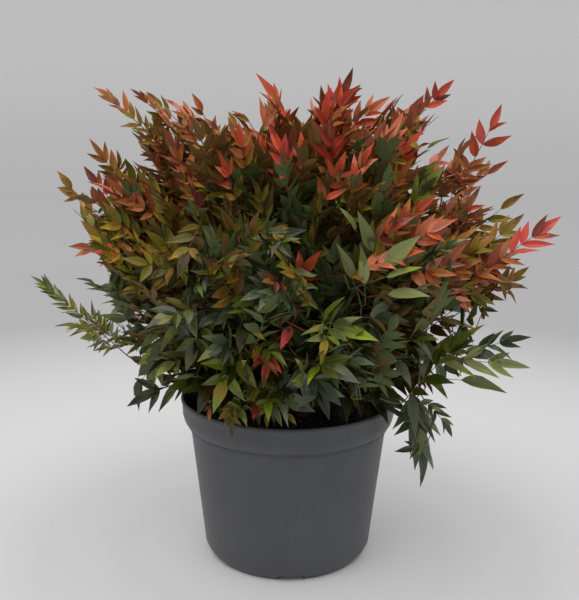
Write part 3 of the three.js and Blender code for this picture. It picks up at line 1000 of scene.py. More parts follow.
@dataclass
class PottingMix:
    """Body of potting mix that fills the pot, uneven on top, with loose crumbs over it."""

    node: str = "root_ball"
    segments: int = 96
    rings: int = 22
    flat_share: float = 0.55
    edge_fall: float = 4 * MM
    sink: float = 0.4 * MM
    unevenness: float = 1.6 * MM
    lump_scale: float = 140.0
    clearance: float = 0.4 * MM
    edge_margin: float = 4 * MM
    crumb_count: int = 1100
    crumb_sizes: tuple[float, float] = (0.9 * MM, 3.4 * MM)
    seed: int = 11

    def build(self) -> list[Piece]:
        """Makes the body and its crumbs."""
        return [self._body(), self._crumbs()]

    def _profile(self) -> Rings:
        """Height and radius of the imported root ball's outline, from its underside to its top edge."""
        vertices = np.array([v.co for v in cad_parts[self.node].data.vertices])
        radii = np.hypot(vertices[:, 0], vertices[:, 1])
        heights = np.unique(np.round(vertices[:, 2], 5))
        outline = [(float(z), float(radii[np.abs(vertices[:, 2] - z) < 1e-5].max())) for z in heights]
        return [(height, radius - self.clearance) for height, radius in outline[:-1]]

    def surface(self, radius: float) -> float:
        """Height of the mix at a distance from the centre, before its unevenness."""
        _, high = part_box(self.node)
        fall = smooth_step(self.flat_share * high.x, high.x, radius)
        return high.z - self.edge_fall * fall - self.sink

    def _body(self) -> Piece:
        """Extrudes the outline, insets its top into rings and roughens them."""
        profile = self._profile()
        piece = open_turned("potting_mix_body", self.segments, profile)
        height, radius = profile[-1]
        for _ in range(self.rings):
            bpy.ops.mesh.inset(thickness=radius / (self.rings + 1), use_even_offset=False)
        bpy.ops.mesh.poke()
        close_turned(piece)
        for vertex in piece.data.vertices:
            if vertex.co.z >= height - 0.2 * MM:
                rough = noise.fractal(vertex.co * self.lump_scale, 0.7, 2.0, 4)
                level = self.surface(math.hypot(vertex.co.x, vertex.co.y))
                vertex.co.z = level + self.unevenness * rough
        use(piece)
        bpy.ops.object.shade_smooth()
        return finish_piece(piece, [MOIST_MIX.material()], [self.node])

    def _crumbs(self) -> Piece:
        """Scatters squashed, turned chips over the mix."""
        clear_selection()
        bpy.ops.mesh.primitive_ico_sphere_add(subdivisions=1, radius=1.0)
        chip = bpy.context.object
        points = np.array([v.co for v in chip.data.vertices])
        faces = np.array([tuple(face.vertices) for face in chip.data.polygons])
        bpy.data.objects.remove(chip)
        rng = np.random.default_rng(self.seed)
        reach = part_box(self.node)[1].x - self.edge_margin
        arrays = MeshArrays()
        for _ in range(self.crumb_count):
            distance = reach * math.sqrt(rng.random())
            turn = 2 * math.pi * rng.random()
            size = mix(*self.crumb_sizes, rng.random() ** 2.2)
            stretch = size * np.array([1.0, rng.uniform(0.45, 0.9), rng.uniform(0.25, 0.55)])
            angles = rng.uniform(-0.6, 0.6, 2)
            turning = Matrix.Rotation(rng.uniform(0, 2 * math.pi), 3, "Z")
            turning @= Matrix.Rotation(angles[0], 3, "X") @ Matrix.Rotation(angles[1], 3, "Y")
            dented = points * rng.uniform(0.75, 1.25, (len(points), 1)) * stretch
            height = self.surface(distance) + 0.2 * size
            placed = dented @ np.array(turning).T
            placed += [distance * math.cos(turn), distance * math.sin(turn), height]
            kind = int(rng.choice(len(CRUMBS), p=[share for _, share in CRUMBS]))
            arrays.add(placed, faces, np.full(len(faces), kind))
        materials = [finish.material() for finish, _ in CRUMBS]
        return finish_piece(arrays.build("potting_mix_crumbs"), materials, [])


# ---- canes and boughs


@dataclass
class Limb:
    """Packed cane or bough: its centreline, its radii and the mass that it feeds."""

    node: str
    line: Array
    radii: Array
    mass: str

    @property
    def end(self) -> Array:
        """Point where the limb enters its mass."""
        return self.line[-1]

    @property
    def heading(self) -> Array:
        """Direction of the limb at its end."""
        return unit(self.line[-1] - self.line[-3])


@dataclass
class LimbReader:
    """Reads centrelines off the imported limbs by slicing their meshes."""

    slices: int = 26
    foot_margin: float = 0.4 * MM
    tip_margin: float = 5 * MM
    root_length: float = 4.5 * MM

    def read(self, node: str, mass: str) -> Limb:
        """Slices one limb.

        Args:
            node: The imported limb's name.
            mass: Name of the mass that it ends in.

        Returns:
            The limb.
        """
        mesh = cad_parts[node].data
        points = np.array([v.co for v in mesh.vertices])
        edges = np.array([tuple(edge.vertices) for edge in mesh.edges])
        is_cane = node.startswith("cane")
        axis = np.array([0.0, 0.0, 1.0]) if is_cane else self._main_axis(points)
        along = points @ axis
        foot_margin = self.foot_margin if is_cane else self.tip_margin
        places = np.linspace(along.min() + foot_margin, along.max() - self.tip_margin, self.slices)
        line, radii = [], []
        for place in places:
            first, second = along[edges[:, 0]], along[edges[:, 1]]
            cut = (first - place) * (second - place) < 0
            share = ((place - first[cut]) / (second[cut] - first[cut]))[:, None]
            ring = mix(points[edges[cut, 0]], points[edges[cut, 1]], share)
            centre = 0.5 * (ring.min(0) + ring.max(0))
            line.append(centre)
            radii.append(np.linalg.norm(ring - centre, axis=1).mean())
        line, radii = np.array(line), np.array(radii)
        if is_cane:
            line[0, 2] = along.min() - self.foot_margin
        else:
            line[0] -= self.root_length * unit(line[1] - line[0])
        return Limb(node, line, radii, mass)

    @staticmethod
    def _main_axis(points: Array) -> Array:
        """Longest direction of a bough, pointing away from the pot's axis."""
        axis = np.linalg.svd(points - points.mean(0), full_matrices=False)[2][0]
        outwards = points.mean(0) * [1.0, 1.0, 0.0]
        return axis if axis @ outwards > 0 else -axis

    def read_all(self) -> list[Limb]:
        """Reads every cane and bough, each with the mass that it feeds."""
        limbs = []
        names = sorted(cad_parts)
        shoulders = sum(name.startswith("foliage_shoulder") for name in names)
        canes = sum(name.startswith("cane_") for name in names)
        for number in range(1, canes + 1):
            ring = "shoulder" if number <= shoulders else "top"
            place = number if number <= shoulders else number - shoulders
            limbs.append(self.read(f"cane_{number}", f"foliage_{ring}_{place}"))
        for name in names:
            if name.startswith("bough_"):
                limbs.append(self.read(name, name.replace("bough", "foliage")))
        return limbs


@dataclass
class LimbBark:
    """Bark with furrows, leaf scars and swollen joints over a packed limb."""

    sides: int = 16
    ring_spacing: float = 1.7 * MM
    furrow_count: int = 7
    furrow_depth: float = 0.07
    furrow_turn: float = 2.8
    joint_spacing: float = 17 * MM
    joint_swell: float = 0.2
    joint_width: float = 1.7 * MM
    grain: float = 0.025

    def build(self, limb: Limb, finish: Material, slot: str) -> Piece:
        """Makes the relief mesh of one limb."""
        rng = np.random.default_rng(sum(map(ord, limb.node)))
        course = Course(limb.line)
        places = np.linspace(0.0, course.length, max(6, int(course.length / self.ring_spacing)))
        radii = np.interp(places, course.travelled, limb.radii)
        angles = np.linspace(0, 2 * math.pi, self.sides, endpoint=False)[None]
        twist = places[:, None] * self.furrow_turn
        relief = 1.0 + self.furrow_depth * np.sin(self.furrow_count * (angles + twist))
        joint = self.joint_spacing * rng.uniform(0.3, 0.9)
        while joint < course.length:
            scar_side = rng.uniform(0, 2 * math.pi)
            ring = np.exp(-(((places - joint) / self.joint_width) ** 2))[:, None]
            relief += self.joint_swell * ring * (0.55 + 0.45 * np.cos(angles - scar_side))
            joint += self.joint_spacing * rng.uniform(0.7, 1.4)
        relief += rng.uniform(-self.grain, self.grain, relief.shape)
        line = course.at(places)
        vertices, triangles = tube_batch(line[None], radii[None], self.sides, relief[None])
        arrays = MeshArrays()
        arrays.add(vertices, triangles, np.zeros(len(triangles)))
        return finish_piece(arrays.build(f"{limb.node}_bark"), [finish], [limb.node])


# ---- the crown's shape


SINGLE_ZONE = "spray"


@dataclass
class Mass:
    """Packed mass of foliage."""

    node: str
    points: Array
    faces: list[tuple[int, ...]]
    foot: Array

    @property
    def zone(self) -> str:
        """Name of the ring or kind that the mass belongs to."""
        return self.node.split("_")[1]

    @property
    def centre(self) -> Array:
        """Middle of the mass."""
        return self.points.mean(0)

    @property
    def reaches(self) -> Array:
        """Distance of each of its points from the crown's foot."""
        return np.linalg.norm(self.points - self.foot, axis=1)

    @property
    def tip(self) -> Array:
        """Point of the mass that is furthest from the crown's foot."""
        return self.points[self.reaches.argmax()]

    @property
    def heel(self) -> Array:
        """Point of the mass that is nearest to the crown's foot."""
        return self.points[self.reaches.argmin()]


@dataclass
class Target:
    """Point that a spray grows to."""

    tip: Array
    outwards: Array
    normal: Array
    depth: float
    zone: str

    @property
    def elevation(self) -> float:
        """Elevation of the point over the crown's foot, in degrees."""
        return math.degrees(math.asin(max(-1.0, min(1.0, self.outwards[2]))))

    @property
    def level(self) -> Array:
        """Direction outwards on the level."""
        return unit(self.outwards * [1.0, 1.0, 0.0])


class Layer(Enum):
    """Layers of sprays, from the inside out.

    Each has the least distance in mm between two sprays low down and on top, the least and greatest
    depth of their tips as a share of the outline, and the seed of its draw.
    """

    INNER = ((38, 42), (0.45, 0.66), 101)
    MIDDLE = ((31, 34), (0.7, 0.86), 102)
    OUTER = ((24.3, 22.4), (0.86, 1.01), 103)


# Round gaps that open the crown from front to back, where they are seen from VIEWPOINT: place to the
# right, height and radius in mm, in the upright plane through the pot's axis.
VIEWPOINT = np.array([0.0, -0.92, 0.475])
GAPS = MM * np.array([
    (-43, 479, 12), (-205, 306, 11), (150, 461, 11), (-227, 352, 14), (-45, 499, 15), (-37, 464, 9),
    (174, 266, 7), (-139, 167, 11), (3, 496, 14), (-232, 368, 13), (150, 196, 6), (167, 438, 7),
    (134, 425, 6), (-215, 400, 8), (202, 392, 8), (-212, 281, 9), (-189, 213, 11), (158, 474, 12),
    (13, 475, 6), (-193, 302, 6), (114, 483, 7), (-214, 313, 12), (134, 448, 5), (-92, 445, 5),
    (143, 432, 5), (185, 415, 5), (-204, 270, 5), (-71, 473, 5), (218, 404, 14), (-120, 467, 5),
    (-164, 437, 10), (170, 421, 5), (-202, 374, 5), (-195, 270, 5), (-164, 260, 5), (183, 468, 10),
    (-222, 285, 10), (235, 377, 7), (187, 268, 5), (-176, 185, 11), (144, 455, 8), (-159, 165, 5),
    (151, 247, 4), (-131, 239, 5), (-215, 345, 5), (-72, 487, 13), (-158, 266, 4), (-174, 496, 8),
])  # fmt: skip


def in_gap(points: Array) -> bool:
    """Whether one of the points stands in a gap that opens the crown from front to back."""
    shares = VIEWPOINT[1] / (VIEWPOINT[1] - points[:, 1])
    seen = VIEWPOINT + (points - VIEWPOINT) * shares[:, None]
    away = np.linalg.norm(seen[:, None, [0, 2]] - GAPS[None, :, :2], axis=2)
    return bool((away < GAPS[:, 2]).any())


@dataclass
class Crown:
    """Outline of the crown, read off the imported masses."""

    # Boxes that no spray ends in: over the rim in front, and a bay above that on the right.
    CLEAR_BOXES = MM * np.array([[[-999, -999, 0], [999, -90, 198]], [[55, -999, 0], [112, -60, 226]]])
    TOP_GROWTH = Slope(340, 440, 0.0, 0.03)
    SPACING_HEIGHTS = (240, 440)
    CLOSER_IN_FRONT = Slope(-170, -90, 0.9, 1.0)
    CLOSER_ON_THE_LEFT = Slope(-150, -30, 0.86, 1.0)
    WIDER_AT_THE_SIDES = Slope(90, 140, 1.0, 1.34)

    foot: Array = field(default_factory=lambda: np.array([0.0, 0.0, 190 * MM]))
    reach: float = 0.6
    direction_count: int = 9000
    lowest: float = -42.0
    shoulder_height: float = 300 * MM
    masses: list[Mass] = field(default_factory=list)

    def __post_init__(self) -> None:
        """Reads the masses and builds the search tree of their faces."""
        for name in sorted(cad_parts):
            if name.startswith("foliage_"):
                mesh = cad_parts[name].data
                points = np.array([v.co for v in mesh.vertices])
                faces = [tuple(face.vertices) for face in mesh.polygons]
                self.masses.append(Mass(name, points, faces, self.foot))
        points, faces, self.owners = [], [], []
        for mass in self.masses:
            if mass.zone != SINGLE_ZONE:
                offset = len(points)
                points += [Vector(point) for point in mass.points]
                faces += [tuple(corner + offset for corner in face) for face in mass.faces]
                self.owners += [mass] * len(mass.faces)
        self.tree = BVHTree.FromPolygons(points, faces)

    def named(self, node: str) -> Mass:
        """The mass of a CAD node."""
        return next(mass for mass in self.masses if mass.node == node)

    def outside(self, direction: Array) -> tuple[Array, Array, str] | None:
        """Furthest point of the crown in a direction from its foot.

        Args:
            direction: Direction at length 1.

        Returns:
            The point, the surface's normal there and the mass's zone, or None where no mass is.
        """
        start = Vector(self.foot + direction * self.reach)
        place, normal, face, _ = self.tree.ray_cast(start, Vector(-direction), self.reach)
        if place is None:
            return None
        return np.array(place), np.array(normal), self.owners[face].zone

    def directions(self) -> Array:
        """Directions spread evenly over the sphere above the lowest elevation that is searched."""
        index = np.arange(self.direction_count) + 0.5
        height = 1.0 - index / self.direction_count * (1.0 - math.sin(math.radians(self.lowest)))
        turn = index * math.pi * (3.0 - math.sqrt(5.0))
        level = np.sqrt(1.0 - height**2)
        return np.stack([level * np.cos(turn), level * np.sin(turn), height], 1)

    def targets(self, layer: Layer) -> list[Target]:
        """Targets of a layer's sprays, apart from each other and out of the gaps and clear boxes."""
        spacing, depths, seed = layer.value
        by_height = Slope(*self.SPACING_HEIGHTS, *(distance * MM for distance in spacing))
        rng = np.random.default_rng(seed)
        directions = self.directions()
        rng.shuffle(directions)
        kept = np.empty((0, 3))
        found = []
        for direction in directions:
            hit = self.outside(direction)
            if hit is None:
                continue
            place, normal, zone = hit
            depth = rng.uniform(*depths)
            tip = mix(self.foot, place, depth + self.TOP_GROWTH.at(place[2]))
            boxed = (tip > self.CLEAR_BOXES[:, 0]) & (tip < self.CLEAR_BOXES[:, 1])
            if in_gap(tip[None]) or boxed.all(1).any():
                continue
            apart = by_height.at(tip[2]) * self.CLOSER_IN_FRONT.at(tip[1])
            if tip[2] > self.shoulder_height:
                apart *= self.CLOSER_ON_THE_LEFT.at(tip[0])
            else:
                apart *= self.WIDER_AT_THE_SIDES.at(abs(tip[0]))
            if len(kept) and np.linalg.norm(kept - tip, axis=1).min() < apart:
                continue
            kept = np.vstack([kept, tip])
            found.append(Target(tip, direction, normal, depth, zone))
        return found


# ---- colours by place


@dataclass
class AutumnRule:
    """Deals out looks by place: young growth on top and outside is red, old growth is green."""

    STAGES = (-4.6, -2.2, -0.8, 0.5, 1.8)
    # Weight of each look at each stage of warmth, and the factors on it at the right and left ends.
    LOOKS = {
        Look.SHADE: ((6.0, 4.0, 1.5, 0.3, 0.0), 1.0, 0.6),
        Look.SLATE: ((1.5, 1.0, 0.3, 0.0, 0.0), 1.0, 1.0),
        Look.LEAFY: ((3.2, 2.4, 1.9, 0.7, 0.1), 1.0, 1.0),
        Look.FRESH: ((0.8, 0.6, 0.4, 0.1, 0.0), 1.0, 1.0),
        Look.PALE: ((0.2, 0.2, 0.1, 0.0, 0.0), 1.0, 1.0),
        Look.STRAW: ((0.3, 0.6, 1.0, 0.9, 0.1), 1.8, 2.6),
        Look.OLIVE: ((1.5, 3.2, 4.4, 3.0, 0.3), 1.0, 1.8),
        Look.BRONZE: ((0.0, 0.2, 1.5, 2.8, 1.3), 1.6, 2.2),
        Look.COPPER: ((0.0, 0.0, 0.4, 1.4, 2.2), 1.0, 1.0),
        Look.RUSSET: ((0.0, 0.0, 0.1, 0.7, 1.4), 1.0, 1.5),
        Look.CORAL: ((0.0, 0.0, 0.0, 0.8, 3.1), 1.2, 0.3),
        Look.ROSE: ((0.0, 0.0, 0.0, 0.2, 1.1), 2.4, 0.2),
        Look.CRIMSON: ((0.0, 0.0, 0.0, 0.4, 1.9), 0.5, 0.4),
        Look.SCARLET: ((0.1, 0.0, 0.0, 0.3, 1.8), 0.6, 0.4),
        Look.MOSS: ((0.9, 1.2, 0.4, 0.0, 0.0), 1.0, 1.0),
    }

    right: float = 21.0
    left: float = 25.0
    front: float = 73.0
    back: float = 48.0
    softness: float = 8.0
    patch_size: float = 42 * MM
    patch_strength: float = 1.5
    shaded_depth: float = 0.95
    shade_strength: float = 7.0
    chance: float = 0.35

    def threshold(self, level: Array) -> float:
        """Elevation at which the leaves turn from green to red, in degrees, by direction."""
        side = self.right if level[0] > 0 else self.left
        depth = self.back if level[1] > 0 else self.front
        return side * level[0] ** 2 + depth * level[1] ** 2

    def look(self, target: Target, rng: np.random.Generator) -> Look:
        """Look of a spray.

        Args:
            target: Where the spray grows.
            rng: Source of chance.

        Returns:
            A look, drawn by the place's weights.
        """
        warmth = (target.elevation - self.threshold(target.level)) / self.softness
        warmth += noise.noise(Vector(target.tip) / self.patch_size) * self.patch_strength
        warmth -= max(0.0, self.shaded_depth - target.depth) * self.shade_strength
        warmth += rng.normal(0.0, self.chance)
        side = float(target.level[0])
        rows = self.LOOKS.values()
        weights = np.array([np.interp(warmth, self.STAGES, stages) for stages, _, _ in rows])
        gains = np.array([right if side > 0 else left for _, right, left in rows])
        weights *= 1.0 + (gains - 1.0) * abs(side)
        return drawn(rng, list(self.LOOKS), weights)


# ---- growing the plant


@dataclass
class Network:
    """Points of the stems and stalks that a new stalk may leave from."""

    points: list[Array] = field(default_factory=list)
    headings: list[Array] = field(default_factory=list)
    turn_cost: float = 0.9
    least_length: float = 9 * MM
    rim_height: float = 182 * MM
    rim_radius: float = 100 * MM

    def add_line(self, line: Array, first: float = 0.0) -> None:
        """Adds the points of a line past a share of its length, but none that hang over the rim."""
        steps = unit(np.gradient(line, axis=0))
        start = int(round(first * (len(line) - 1)))
        for point, step in zip(line[start:], steps[start:]):
            if point[2] > self.rim_height or math.hypot(point[0], point[1]) < self.rim_radius:
                self.points.append(point)
                self.headings.append(step)

    def leave_for(self, base: Array, heading: Array, foot: Array) -> tuple[Array, Array]:
        """Best point to leave from towards a spray.

        Args:
            base: Where the spray starts.
            heading: Its direction there.
            foot: The crown's foot. A stalk never grows back towards it.

        Returns:
            The point and its line's direction.
        """
        points = np.array(self.points)
        away = base - points
        length = np.linalg.norm(away, axis=1)
        turn = 1.0 - (away @ heading) / np.maximum(length, 1e-9)
        cost = length * (1.0 + self.turn_cost * turn)
        nearer = np.linalg.norm(points - foot, axis=1) < np.linalg.norm(base - foot) + 2 * MM
        cost = np.where(nearer & (length > self.least_length), cost, cost + 1.0)
        best = int(cost.argmin())
        return points[best], self.headings[best]


class StalkTone(Enum):
    """Colours of stalks, by place in the stalk pieces' materials."""

    RED = OneTone("stalk_red", (132, 56, 46))
    GREEN = OneTone("stalk_green", (100, 104, 52))

    @property
    def place(self) -> int:
        """Index of the tone's material."""
        return list(StalkTone).index(self)


@dataclass(frozen=True)
class SprayShape:
    """Sizes of a spray: a rachis with leaflets in opposite pairs and one at its end.

    Angles are in degrees. Bow, arch, lift, wander, roll and curl are shares of a length. Roof is where
    the upper faces look, and aim, where given, is the way that the spray runs.
    """

    length: float
    leaflet: float
    slimness: float
    node_spacing: float
    branch_from: int
    angle: float
    bow: float
    lift: float
    arch: float
    wander: float
    curl: float
    shades: tuple[int, ...]
    bare_share: float = 0.2
    roll: float = 0.4
    roof: tuple[float, float, float] = (0.0, 0.0, 1.0)
    aim: Array | None = None


UNBRANCHED = 9  # more pairs than a spray has, so that none of them branches
FORWARDS = (0.0, -0.8, 0.6)  # roof of the sprays that show their leaflets' faces in front
GREEN_LOOKS = (Look.SHADE, Look.SLATE, Look.LEAFY, Look.FRESH, Look.PALE, Look.MOSS)


@dataclass(frozen=True)
class Leader:
    """Spray placed one by one: its tip in mm, the slope it has from the front, its look and its sizes."""

    FRONT = -100
    HIGH = 430
    SIDE_HIGH = 330
    SIDE = 110
    BROAD_UNDER = 360

    tip: tuple[int, int, int]
    lean: float
    look: Look
    length: float
    leaflet: float

    @property
    def heading(self) -> Array:
        """Direction that the spray runs in. The lean turns from the right-hand side up and to the left."""
        turn = math.radians(self.lean)
        forwards = -0.25 if self.look is Look.PALE else -0.6 if self.is_front else -0.05
        return unit(np.array([math.cos(turn), forwards, math.sin(turn)]))

    @property
    def is_front(self) -> bool:
        """Whether the spray stands in front of the crown."""
        return self.tip[1] < self.FRONT

    @property
    def is_broad(self) -> bool:
        """Whether the spray stands low down in front, where leaflets are broad and spread wide."""
        return self.is_front and self.tip[2] < self.BROAD_UNDER

    @property
    def shades(self) -> tuple[int, ...]:
        """Gains of painted light and shade that the leaflets are drawn from: painted light on top, painted
        shade low in front.
        """
        is_out = self.tip[2] > self.SIDE_HIGH and abs(self.tip[0]) > self.SIDE
        if (self.tip[2] > self.HIGH or is_out) and self.look not in GREEN_LOOKS:
            return (2, 2, 3)
        return (0, 1, 1, 2) if self.is_front and self.look not in (Look.PALE, Look.FRESH) else (1, 2, 2)

    def shaped(self, usual: SprayShape) -> SprayShape:
        """Shape of the spray, from the usual one at its place."""
        leaflet = self.leaflet * MM
        shape = replace(usual, aim=self.heading, roof=FORWARDS, roll=0.25, shades=self.shades)
        return replace(
            shape,
            length=self.length * MM,
            leaflet=leaflet,
            node_spacing=0.46 * leaflet,
            angle=52.0 if self.is_broad else 32.0,
            slimness=0.4 if self.is_broad and self.look is not Look.PALE else 0.33,
            bare_share=1.0 if self.length < 1.3 * self.leaflet else usual.bare_share,
        )


@dataclass(frozen=True)
class SingleSpray:
    """How a spray that stands far out of the crown looks.

    Leaflet and shift of the tip are in mm, angle and lean in degrees, spacing as a share of the leaflet.
    """

    look: Look
    leaflet: float
    slimness: float
    spacing: float
    angle: float
    side_sprays: int
    lean: float | None = None
    shift: tuple[int, int, int] = (0, 0, 0)

    def aim(self, axis: Array) -> Array:
        """Direction that the spray runs in: its lean as seen from the front, or else its mass's axis."""
        if self.lean is None:
            return axis
        turn = math.radians(self.lean)
        return np.array([math.cos(turn), 0.0, math.sin(turn)])

    def shaped(self, usual: SprayShape, aim: Array, length: float, is_high: bool) -> SprayShape:
        """Shape of the spray, from the usual one at its place."""
        leaflet = self.leaflet * MM
        # Painted light on high sprays, whose leaflets get lighter gains; low ones get darker gains, painted
        # shade.
        shades = (2, 2, 3) if is_high else (1, 1, 2)
        shape = replace(usual, aim=aim, roof=FORWARDS, roll=0.15, lift=0.0, bow=0.04, shades=shades)
        shape = replace(shape, length=length, bare_share=0.1, branch_from=UNBRANCHED, angle=self.angle)
        return replace(shape, leaflet=leaflet, node_spacing=self.spacing * leaflet, slimness=self.slimness)


SINGLE_SPRAYS = {
    "far_left": SingleSpray(Look.MOSS, 21, 0.25, 0.3, 17.0, 0, 138.0),
    "top_left": SingleSpray(Look.RUSSET, 23, 0.3, 0.36, 24.0, 1, 141.0),
    "right_shoot": SingleSpray(Look.CRIMSON, 31, 0.3, 0.42, 30.0, 2, 34.0),
    "top_right": SingleSpray(Look.CRIMSON, 30, 0.36, 0.52, 42.0, 2, 60.0),
    "lower_right": SingleSpray(Look.PALE, 40, 0.26, 0.6, 27.0, 0, -2.0, (-8, 10, -19)),
    "hanging_right": SingleSpray(Look.SLATE, 46, 0.27, 0.4, 15.0, 0, -79.0, (-18, 1, -22)),
    "hanging_left": SingleSpray(Look.SHADE, 34, 0.34, 0.6, 34.0, 0),
}
# Leaders by look. Each has its tip to the right, to the back and up, its lean in degrees, its length
# and its leaflets' length. All lengths are in mm.
LEADER_ROWS = {
    Look.RUSSET: (
        (-160, -15, 496, 143, 100, 19), (-121, -25, 478, 128, 90, 20), (-100, 10, 493, 112, 90, 21),
        (-77, -30, 481, 100, 80, 22), (-66, -10, 473, 120, 90, 24), (103, -10, 483, 95, 80, 24),
        (134, 0, 493, 55, 100, 25), (226, 10, 427, 36, 110, 25), (149, -66, 199, -40, 50, 16),
        (-208, -25, 419, 130, 115, 24), (-154, 0, 444, 150, 90, 24), (-228, -20, 338, 172, 90, 26),
        (-76, -116, 184, -95, 30, 13), (-12, -185, 254, -45, 24, 19), (-23, -217, 340, 200, 30, 19),
        (-119, -61, 449, 120, 80, 24), (190, -53, 334, 25, 80, 26), (-169, -121, 414, 140, 80, 24),
        (-99, -145, 417, 120, 80, 24),
    ),
    Look.BRONZE: (
        (-150, 20, 493, 140, 90, 19), (-56, 20, 488, 88, 90, 24), (143, -30, 477, 40, 100, 26),
        (164, 20, 453, 38, 100, 24), (245, 15, 394, 40, 115, 27), (236, -30, 376, 43, 110, 27),
        (253, 0, 316, 32, 100, 22), (238, -20, 282, -35, 90, 20), (208, -50, 289, -8, 100, 26),
        (-178, 10, 434, 70, 80, 18), (-240, 0, 413, 125, 110, 22), (-246, 20, 394, 155, 60, 18),
        (-203, -60, 370, 133, 80, 26), (-213, -10, 392, 105, 70, 18), (-28, -201, 395, 80, 46, 24),
        (-29, -221, 355, -10, 48, 22), (-77, -198, 343, 176, 52, 22), (-97, -175, 334, 250, 60, 24),
        (-69, -209, 358, 120, 60, 24), (207, -39, 355, 30, 80, 26), (53, -154, 413, 80, 70, 24),
        (-150, -136, 345, 160, 70, 24), (-58, -156, 410, 100, 60, 24), (80, -151, 419, 60, 70, 26),
        (138, -155, 316, -20, 70, 26),
    ),
    Look.SCARLET: (
        (-35, 0, 513, 127, 125, 30), (-22, -12, 494, 122, 110, 28), (-32, -185, 267, 172, 25, 20),
        (-23, -185, 241, 255, 42, 22), (25, -185, 359, 60, 54, 26), (-62, -154, 440, 110, 80, 25),
        (48, -152, 441, 70, 80, 26), (-45, -142, 465, 100, 80, 24), (122, -168, 407, 50, 80, 26),
    ),
    Look.CRIMSON: (
        (-17, 20, 486, 118, 100, 28), (33, -20, 494, 93, 100, 27), (65, 0, 517, 66, 120, 30),
        (164, 0, 508, 47, 110, 24), (69, -10, 502, 52, 90, 26), (-4, -180, 280, 240, 27, 22),
        (-32, -176, 210, -72, 27, 23), (-20, -82, 465, 110, 90, 28), (9, -75, 456, 95, 80, 26),
        (35, -127, 470, 90, 80, 26),
    ),
    Look.CORAL: (
        (48, 10, 502, 80, 110, 25), (100, 10, 492, 42, 110, 28), (194, -10, 402, 60, 90, 26),
        (184, -60, 281, -30, 80, 22), (250, -10, 300, 8, 90, 26), (233, -30, 339, 28, 90, 25),
        (56, 10, 490, 70, 80, 25), (138, -184, 388, 35, 90, 27), (113, -190, 363, 20, 80, 28),
        (107, -60, 475, 60, 80, 26), (146, -159, 335, -5, 80, 26), (87, -173, 387, 120, 50, 26),
        (101, -179, 390, 40, 60, 26), (70, -148, 449, 70, 80, 26),
    ),
    Look.LEAFY: (
        (144, -20, 430, 58, 90, 32), (194, -20, 245, 40, 70, 26), (-194, -60, 306, 168, 80, 28),
        (-146, -40, 183, 245, 80, 34), (-123, -60, 196, 278, 70, 34), (75, -151, 403, 86, 34, 30),
        (52, -216, 303, -28, 48, 28), (-63, -184, 294, 222, 48, 26), (0, -205, 358, -75, 44, 26),
        (-53, -213, 345, -15, 46, 26), (149, -54, 425, 50, 80, 28), (12, -192, 320, -60, 50, 26),
        (-112, -178, 271, 230, 56, 26), (-91, -169, 249, 250, 54, 28),
    ),
    Look.SHADE: (
        (183, 0, 265, 78, 80, 26), (-175, -20, 201, 215, 90, 26), (-168, 0, 154, 250, 80, 34),
        (-81, -172, 290, 200, 50, 28),
    ),
    Look.SLATE: (
        (163, -60, 207, -48, 60, 22), (171, -60, 149, -55, 45, 20), (162, -60, 176, -20, 34, 18),
        (113, -66, 135, 205, 34, 20), (249, -36, 253, 62, 44, 26), (138, -58, 127, -81, 76, 40),
        (-41, -206, 323, 196, 52, 26), (-23, -215, 334, 160, 44, 22), (73, -198, 267, 15, 46, 26),
        (102, -165, 295, 5, 56, 32), (120, -109, 225, -30, 50, 30), (47, -185, 226, -30, 46, 26),
        (20, -182, 220, -20, 52, 32), (37, -185, 212, -68, 46, 28), (-78, -176, 264, 200, 48, 28),
    ),
    Look.PALE: (
        (228, -46, 199, -17, 50, 47), (62, -164, 381, 112, 44, 36), (49, -160, 391, 138, 30, 26),
        (105, -190, 375, 47, 46, 42), (109, -198, 351, 8, 42, 37), (112, -199, 330, -16, 40, 35),
        (46, -163, 354, 113, 38, 33), (62, -178, 358, 105, 40, 35), (6, -199, 273, 108, 40, 24),
    ),
    Look.COPPER: (
        (-207, 0, 445, 128, 100, 24), (-97, -133, 389, 140, 70, 24), (-112, -116, 371, 95, 60, 24),
        (104, -135, 436, 70, 80, 26), (-179, -130, 350, 170, 80, 24), (109, -177, 395, 40, 80, 26),
    ),
    Look.OLIVE: (
        (-165, -20, 428, 105, 80, 24), (-129, -90, 406, 110, 70, 24), (-85, -112, 191, 250, 34, 15),
        (-20, -124, 180, -85, 32, 14), (9, -122, 184, -40, 30, 14), (-44, -185, 270, 255, 48, 28),
        (8, -180, 368, -15, 44, 22), (-56, -197, 395, 115, 44, 22), (0, -77, 430, 85, 60, 26),
        (27, -147, 405, 85, 60, 24), (-149, -51, 419, 120, 80, 24), (-183, -127, 390, 145, 80, 24),
        (-130, -130, 370, 130, 70, 24), (-32, -147, 418, 100, 60, 24), (-81, -149, 391, 110, 60, 24),
        (19, -135, 375, 90, 54, 22), (-129, -133, 325, 200, 70, 24),
    ),
    Look.STRAW: (
        (-155, -60, 410, 120, 80, 24), (-110, -110, 394, 100, 60, 22), (-52, -123, 171, -80, 44, 14),
        (-61, -120, 180, -115, 36, 13), (-4, -122, 183, -60, 34, 16),
    ),
    Look.MOSS: (
        (-205, 0, 274, 172, 80, 24), (-252, 0, 251, 168, 110, 24), (-194, -30, 231, 190, 70, 20),
        (-2, -186, 379, 12, 46, 22), (138, -127, 271, 8, 60, 30), (-124, -181, 292, 190, 60, 26),
    ),
    Look.FRESH: (
        (-38, -122, 183, -60, 34, 16), (24, -182, 311, -38, 48, 27), (71, -197, 287, -6, 54, 36),
        (27, -210, 271, 250, 44, 24), (51, -212, 260, -8, 50, 34), (-71, -159, 208, 236, 54, 32),
        (-31, -164, 225, -50, 44, 22), (-71, -173, 259, 170, 48, 26), (0, -184, 260, -24, 42, 22),
        (-40, -185, 265, 70, 36, 18), (-19, -176, 214, -70, 42, 22),
    ),
}
